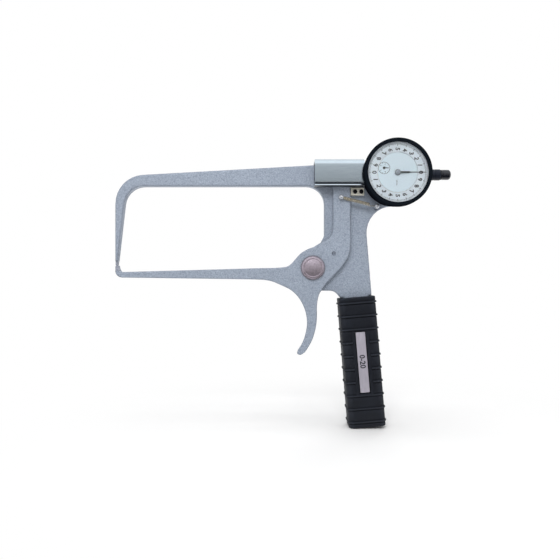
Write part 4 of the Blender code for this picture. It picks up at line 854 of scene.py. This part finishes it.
def make_grip(finishes):
    """The ribbed rubber grip, with a smooth raised panel and a pocket for its plate."""
    half_length, half_width, half_depth, corner, end_round = 53.15, 15.05, 12.0, 4.4, 0.7
    panel, panel_end, panel_rise = 7.0, 26.0, 0.35
    pocket, pocket_end, pocket_depth = 4.65, 25.5, 1.05
    ribs = np.linspace(-48.6, 48.6, 10)
    rib_shape = (
        (-1.6, 0.0), (-1.0, -0.15), (-0.7, 0.55), (-0.3, 0.8), (0.3, 0.8), (0.7, 0.55),
        (0.95, -0.4), (1.3, -0.4), (1.7, 0.0),
    )
    stations = [float(rib) + step for rib in ribs for step, _ in rib_shape]
    stations += [side * (half_length - step) for side in (-1, 1) for step in (0.0, 0.25, 0.7, 1.4)]
    stations += [side * (pocket_end + step) for side in (-1, 1) for step in (-0.4, -0.06, 0.06)]
    stations = sorted(set(round(station, 4) for station in stations))

    front = [
        10.0, 8.6, panel + 0.5, panel + 0.14, panel - 0.14, panel - 0.5, pocket + 0.4,
        pocket + 0.06, pocket - 0.06, pocket - 0.5, 2.0,
    ]
    front_columns = [-x for x in front] + [0.0] + front[::-1]
    outline = [(x, half_depth, 0.0, 1.0, True) for x in front_columns]
    for side_x, side_y, start in ((1, 1, 90), (1, -1, 0), (-1, -1, -90), (-1, 1, -180)):
        middle = (side_x * (half_width - corner), side_y * (half_depth - corner))
        for angle in np.linspace(math.radians(start), math.radians(start - 90), 7):
            ahead, beside = math.sin(angle), math.cos(angle)
            outline.append((middle[0] + corner * beside, middle[1] + corner * ahead, beside, ahead, False))

    def swell(across, along, on_front):
        nearest = min(ribs, key=lambda place: abs(along - place))
        rib = float(np.interp(along - nearest, *zip(*rib_shape)))
        end = half_length - abs(along)
        if end < end_round:
            return -0.5 * (1.0 - end / end_round) ** 2
        if not on_front or abs(along) > panel_end or abs(across) > panel:
            return rib
        if abs(across) < pocket and abs(along) < pocket_end:
            return -pocket_depth
        return max(panel_rise, rib if abs(along) > panel_end - 0.01 else 0.0)

    verts = []
    for along in stations:
        for across, forward, out_x, out_y, on_front in outline:
            rise = swell(across, along, on_front)
            verts.append(on_grip(across + out_x * rise, along, forward + out_y * rise))
    count, faces = len(outline), []
    for row in range(len(stations) - 1):
        for column in range(count):
            after = (column + 1) % count
            faces.append((
                row * count + column, row * count + after, (row + 1) * count + after,
                (row + 1) * count + column,
            ))
    faces.append(tuple(range(count)))
    faces.append(tuple(range((len(stations) - 1) * count, len(stations) * count)))
    piece(mesh_object("ribbed_grip", verts, faces), "frame_body", finishes["rubber"], "rubber", "grip")


def make_label(finishes):
    """The grip's plate, with plain numbers read from the top down."""
    lo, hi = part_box("label_plate")
    middle = (lo + hi) / 2
    x = middle.x / MM - PIVOT_TO_ORIGIN[0]
    z = middle.z / MM - PIVOT_TO_ORIGIN[1]
    down, right = grip_directions()

    def on_plate(across, along, forward):
        spot = Vector((x, z)) + right * across + down * along
        return at(spot.x, spot.y, forward)

    half_width, half_length, corner = 3.8, 24.65, 0.5
    outline = []
    for side, end, start in ((1, 1, 0), (-1, 1, 90), (-1, -1, 180), (1, -1, 270)):
        centre = (side * (half_width - corner), end * (half_length - corner))
        outline += arc_points(centre, corner, start, start + 90, 4)
    plate = prism("label_strip", outline, -hi.y / MM, -lo.y / MM, on_plate)
    soften(plate, 0.12)
    piece(plate, "frame_body", finishes["label"], "label_aluminium", "label_plate")
    spot = Vector((x, z)) - down * 0.6
    up = math.atan2(math.sin(GRIP_LEAN), math.cos(GRIP_LEAN))
    words = text_faces("0-20", 4.4, spot, up, -lo.y / MM, 0.035, thickness=0.04)
    piece(gathered("range_numbers", [words]), "frame_body", finishes["ink"], "pointer_black")


# Floor, light and camera


def make_floor():
    low = CAD_BOX[0].z - 0.0002
    mesh = bpy.data.meshes.new("studio_floor")
    far = 6.0
    mesh.from_pydata([(-far, -far, 0), (far, -far, 0), (far, far, 0), (-far, far, 0)], [], [(0, 1, 2, 3)])
    floor = bpy.data.objects.new("studio_floor", mesh)
    floor.location = (0.0, 0.0, low)
    bpy.context.scene.collection.objects.link(floor)
    material = bpy.data.materials.new("studio_floor")
    material.use_nodes = True
    nodes, links = material.node_tree.nodes, material.node_tree.links
    shader = nodes["Principled BSDF"]
    shader.inputs["Base Color"].default_value = (0.86, 0.86, 0.86, 1.0)
    shader.inputs["Roughness"].default_value = 0.9
    shader.inputs["Specular IOR Level"].default_value = 0.1
    path = nodes.new("ShaderNodeLightPath")
    seen = nodes.new("ShaderNodeMath")
    seen.operation = "MAXIMUM"
    links.new(path.outputs["Is Camera Ray"], seen.inputs[0])
    links.new(path.outputs["Is Transmission Ray"], seen.inputs[1])
    place = nodes.new("ShaderNodeTexCoord")
    away = nodes.new("ShaderNodeVectorMath")
    away.operation = "LENGTH"
    links.new(place.outputs["Object"], away.inputs[0])
    fade = nodes.new("ShaderNodeMapRange")
    fade.interpolation_type = "SMOOTHSTEP"
    fade.inputs["From Min"].default_value = 0.06
    fade.inputs["From Max"].default_value = 0.3
    links.new(away.outputs["Value"], fade.inputs["Value"])
    share = nodes.new("ShaderNodeMath")
    share.operation = "MULTIPLY"
    links.new(seen.outputs[0], share.inputs[0])
    links.new(fade.outputs[0], share.inputs[1])
    white = nodes.new("ShaderNodeEmission")
    mixed = nodes.new("ShaderNodeMixShader")
    links.new(share.outputs[0], mixed.inputs[0])
    links.new(shader.outputs[0], mixed.inputs[1])
    links.new(white.outputs[0], mixed.inputs[2])
    links.new(mixed.outputs[0], nodes["Material Output"].inputs["Surface"])
    mesh.materials.append(material)


def make_card():
    """A dark card in front of the object's foot, seen only in its shiny surfaces."""
    low = CAD_BOX[0].z + 0.0004
    mesh = bpy.data.meshes.new("dark_card")
    mesh.from_pydata(
        [(-0.5, -0.9, 0), (0.5, -0.9, 0), (0.5, -0.06, 0), (-0.5, -0.06, 0)], [], [(0, 1, 2, 3)]
    )
    card = bpy.data.objects.new("dark_card", mesh)
    card.location = (0.0, 0.0, low)
    bpy.context.scene.collection.objects.link(card)
    material = bpy.data.materials.new("dark_card")
    material.use_nodes = True
    shader = material.node_tree.nodes["Principled BSDF"]
    shader.inputs["Base Color"].default_value = (0.03, 0.032, 0.036, 1.0)
    shader.inputs["Roughness"].default_value = 0.9
    mesh.materials.append(material)
    card.visible_camera = False
    card.visible_diffuse = False
    card.visible_shadow = False
    card.visible_transmission = False


def make_world():
    """White where the camera or glass looks, and a soft grey room behind the camera for metals."""
    world = bpy.data.worlds.new("studio")
    bpy.context.scene.world = world
    world.use_nodes = True
    nodes, links = world.node_tree.nodes, world.node_tree.links
    nodes.clear()
    out = nodes.new("ShaderNodeOutputWorld")
    path = nodes.new("ShaderNodeLightPath")
    place = nodes.new("ShaderNodeTexCoord")
    split = nodes.new("ShaderNodeSeparateXYZ")
    links.new(place.outputs["Generated"], split.inputs[0])
    room = nodes.new("ShaderNodeValToRGB")
    stops = [
        (0.0, 0.5), (0.46, 0.26), (0.5, 0.32), (0.57, 0.4), (0.64, 0.54), (0.72, 0.86), (0.79, 1.0),
    ]
    elements = room.color_ramp.elements
    while len(elements) < len(stops):
        elements.new(0.5)
    for element, (position, value) in zip(elements, stops):
        element.position = position
        element.color = (value * 0.97, value, value * 1.04, 1.0)
    height = nodes.new("ShaderNodeMapRange")
    height.inputs["From Min"].default_value = -1.0
    links.new(split.outputs["Z"], height.inputs["Value"])
    links.new(height.outputs[0], room.inputs[0])
    behind = nodes.new("ShaderNodeMapRange")
    behind.inputs["From Min"].default_value = -0.15
    behind.inputs["From Max"].default_value = 0.25
    links.new(split.outputs["Y"], behind.inputs["Value"])
    reflected = nodes.new("ShaderNodeMix")
    reflected.data_type = "RGBA"
    reflected.inputs[7].default_value = (0.8, 0.82, 0.84, 1.0)
    links.new(behind.outputs[0], reflected.inputs[0])
    links.new(room.outputs[0], reflected.inputs[6])
    plain = nodes.new("ShaderNodeBackground")
    plain.inputs["Color"].default_value = (1.0, 1.0, 1.0, 1.0)
    plain.inputs["Strength"].default_value = 0.5
    white = nodes.new("ShaderNodeBackground")
    shiny = nodes.new("ShaderNodeBackground")
    links.new(reflected.outputs[2], shiny.inputs["Color"])
    first = nodes.new("ShaderNodeMixShader")
    links.new(path.outputs["Is Glossy Ray"], first.inputs[0])
    links.new(plain.outputs[0], first.inputs[1])
    links.new(shiny.outputs[0], first.inputs[2])
    seen = nodes.new("ShaderNodeMath")
    seen.operation = "MAXIMUM"
    links.new(path.outputs["Is Camera Ray"], seen.inputs[0])
    links.new(path.outputs["Is Transmission Ray"], seen.inputs[1])
    second = nodes.new("ShaderNodeMixShader")
    links.new(seen.outputs[0], second.inputs[0])
    links.new(first.outputs[0], second.inputs[1])
    links.new(white.outputs[0], second.inputs[2])
    white.inputs["Color"].default_value = (1.0, 1.0, 1.0, 1.0)
    links.new(second.outputs[0], out.inputs["Surface"])


def make_lamp(name, place, aim, size, power):
    data = bpy.data.lights.new(name, "AREA")
    data.shape = "RECTANGLE"
    data.size, data.size_y = size
    data.energy = power
    lamp = bpy.data.objects.new(name, data)
    lamp.visible_glossy = False
    lamp.location = place
    lamp.rotation_euler = (Vector(aim) - Vector(place)).to_track_quat("-Z", "Y").to_euler()
    bpy.context.scene.collection.objects.link(lamp)


def make_camera():
    data = bpy.data.cameras.new("photo_camera")
    data.sensor_width = SENSOR
    data.lens = SENSOR * PHOTO_FOCUS / PHOTO_SIDE
    data.shift_x = -2.0 / PHOTO_SIDE
    data.shift_y = 1.0 / PHOTO_SIDE
    data.clip_start = 0.01
    data.clip_end = 50.0
    camera = bpy.data.objects.new("photo_camera", data)
    camera.location = CAMERA_PLACE
    camera.rotation_euler = (math.radians(90.0), 0.0, 0.0)
    bpy.context.scene.collection.objects.link(camera)
    bpy.context.scene.camera = camera


def main():
    axis_dial, axis_pivot = at(*DIAL), at(0.0, 0.0)
    spindle = at(0.0, DIAL[1], SPINDLE_FORWARD)
    finishes = {
        "paint": hammered_paint(),
        "chrome": metal(
            "satin_chrome", srgb(226, 238, 244), srgb(214, 226, 234), 0.15, (0.06, 1.0, 1.0), 2400.0, 0.02
        ),
        # Painted shade: a dark chrome for the cover's end wall, under-lip skin and groove strip.
        "cover_end": metal("painted_shade_chrome", srgb(70, 76, 84), srgb(52, 58, 66), 0.45, bare=0.5),
        "steel": metal("bare_steel", srgb(186, 186, 190), srgb(150, 150, 156), 0.3),
        "post": metal("bright_steel", srgb(230, 233, 238), srgb(206, 210, 217), 0.18, bare=0.65),
        "tip": metal("ground_steel", srgb(170, 175, 188), srgb(138, 143, 156), 0.4, bare=0.3),
        "pivot": turned_metal(
            "turned_steel", srgb(206, 193, 203), srgb(176, 163, 173), 0.32, axis_pivot, bare=0.8
        ),
        "washer": turned_metal(
            "plain_washer", srgb(150, 147, 156), srgb(120, 117, 126), 0.4, axis_pivot, bare=0.4
        ),
        "spindle": turned_metal(
            "spindle_steel", srgb(196, 196, 200), srgb(160, 162, 168), 0.22, spindle, (1, 2)
        ),
        "brass": metal("brass", srgb(202, 168, 100), srgb(166, 132, 74), 0.3),
        "spring": metal("spring_wire", srgb(214, 206, 188), srgb(160, 152, 134), 0.26, bare=0.6),
        "label": metal(
            "brushed_aluminium", srgb(198, 193, 204), srgb(174, 169, 180), 0.4, (1.0, 1.0, 0.05), 2600.0,
            bare=0.45,
        ),
        "stop": metal("pale_plate", srgb(228, 226, 214), srgb(206, 203, 190), 0.5, bare=0.15),
        "screw": black_finish("black_oxide", srgb(14, 14, 16), srgb(34, 34, 38), 0.35),
        "set_screw": metal("dull_screw", srgb(150, 158, 173), srgb(126, 134, 148), 0.5, bare=0.3),
        "black": black_finish("black_enamel", srgb(14, 18, 23), srgb(29, 35, 43), 0.5, shine=0.0),
        "case": black_finish("matt_black", srgb(15, 17, 22), srgb(34, 38, 46), 0.65, shine=0.0),
        "collar": black_finish("satin_black", srgb(17, 22, 33), srgb(34, 41, 56), 0.36, shine=0.3),
        "cap": black_finish("gloss_black", srgb(12, 14, 20), srgb(24, 28, 38), 0.17, bump=0.03, shine=0.75),
        "rubber": moulded_rubber(),
        "face": dial_face("scale_lacquer", srgb(224, 231, 236), srgb(215, 223, 230)),
        "plate": dial_face("dial_lacquer", srgb(220, 233, 240), srgb(212, 226, 234)),
        "spacer": dial_face("pale_ring", srgb(212, 216, 222), srgb(196, 201, 208)),
        "ink": ink("dial_ink", srgb(22, 24, 30), srgb(46, 48, 56)),
        "crystal": clear_crystal(),
        "main_pointer": pointer_finish("needle_hub", axis_dial, 0.0022),
        "needle": black_finish("needle_black", srgb(14, 16, 21), srgb(30, 32, 39), 0.5, shine=0.08),
    }
    for name, voxel in (("frame", 0.58), ("lever", 0.5)):
        cast(name, finishes["paint"], voxel)
    dress("stop_plate", finishes["stop"], 0.2)
    for name in ("stop_screw_left", "stop_screw_right"):
        dress(name, finishes["screw"], 0.12)
    dress("lever_set_screw", finishes["set_screw"], 0.12)
    dress("pivot_bush", finishes["brass"])
    dress("pivot_nut", finishes["pivot"], 0.3)
    for name in ("cover_screw_left", "cover_screw_right", "dial_screw_1", "dial_screw_2", "dial_screw_3"):
        dress(name, finishes["steel"], 0.15)
    for name in ("dial_back_cover", "dial_case"):
        dress(name, finishes["case"], 0.25)
    for name in ("movement_plate", "rear_bridge"):
        dress(name, finishes["brass"], 0.1)
    for name in ("stem", "spindle", "contact_point"):
        dress(name, finishes["spindle"])
    for name in ("stem_clamp", "clamp_screw", "finger_anvil"):
        dress(name, finishes["steel"], 0.2)

    make_dial(finishes)
    make_scale(finishes)
    make_counter_scale(finishes)
    make_needle(finishes)
    make_counter_needle(finishes)
    make_spindle_line(finishes)
    make_tips(finishes)
    make_cover(finishes)
    make_pivot(finishes)
    post("lever_post", LEVER_POST, 10.3, "spring_post_lever", "lever_body", finishes["post"])
    post("frame_post", FRAME_POST, 4.3, "spring_post_frame", "frame_body", finishes["post"])
    make_spring(finishes)
    make_grip(finishes)
    make_label(finishes)

    make_floor()
    make_world()
    make_card()
    make_lamp("key", (-0.17, -0.93, 0.62), (-0.06, 0.0, 0.08), (0.42, 0.42), 6.55)
    make_lamp("top", (-0.05, -0.15, 1.2), (-0.04, 0.0, 0.08), (0.6, 0.6), 5.0)
    make_lamp("back", (0.2, 0.9, 0.6), (-0.03, 0.0, 0.07), (0.8, 0.8), 4.0)
    make_camera()
    bpy.context.scene.view_settings.view_transform = "Standard"


main()
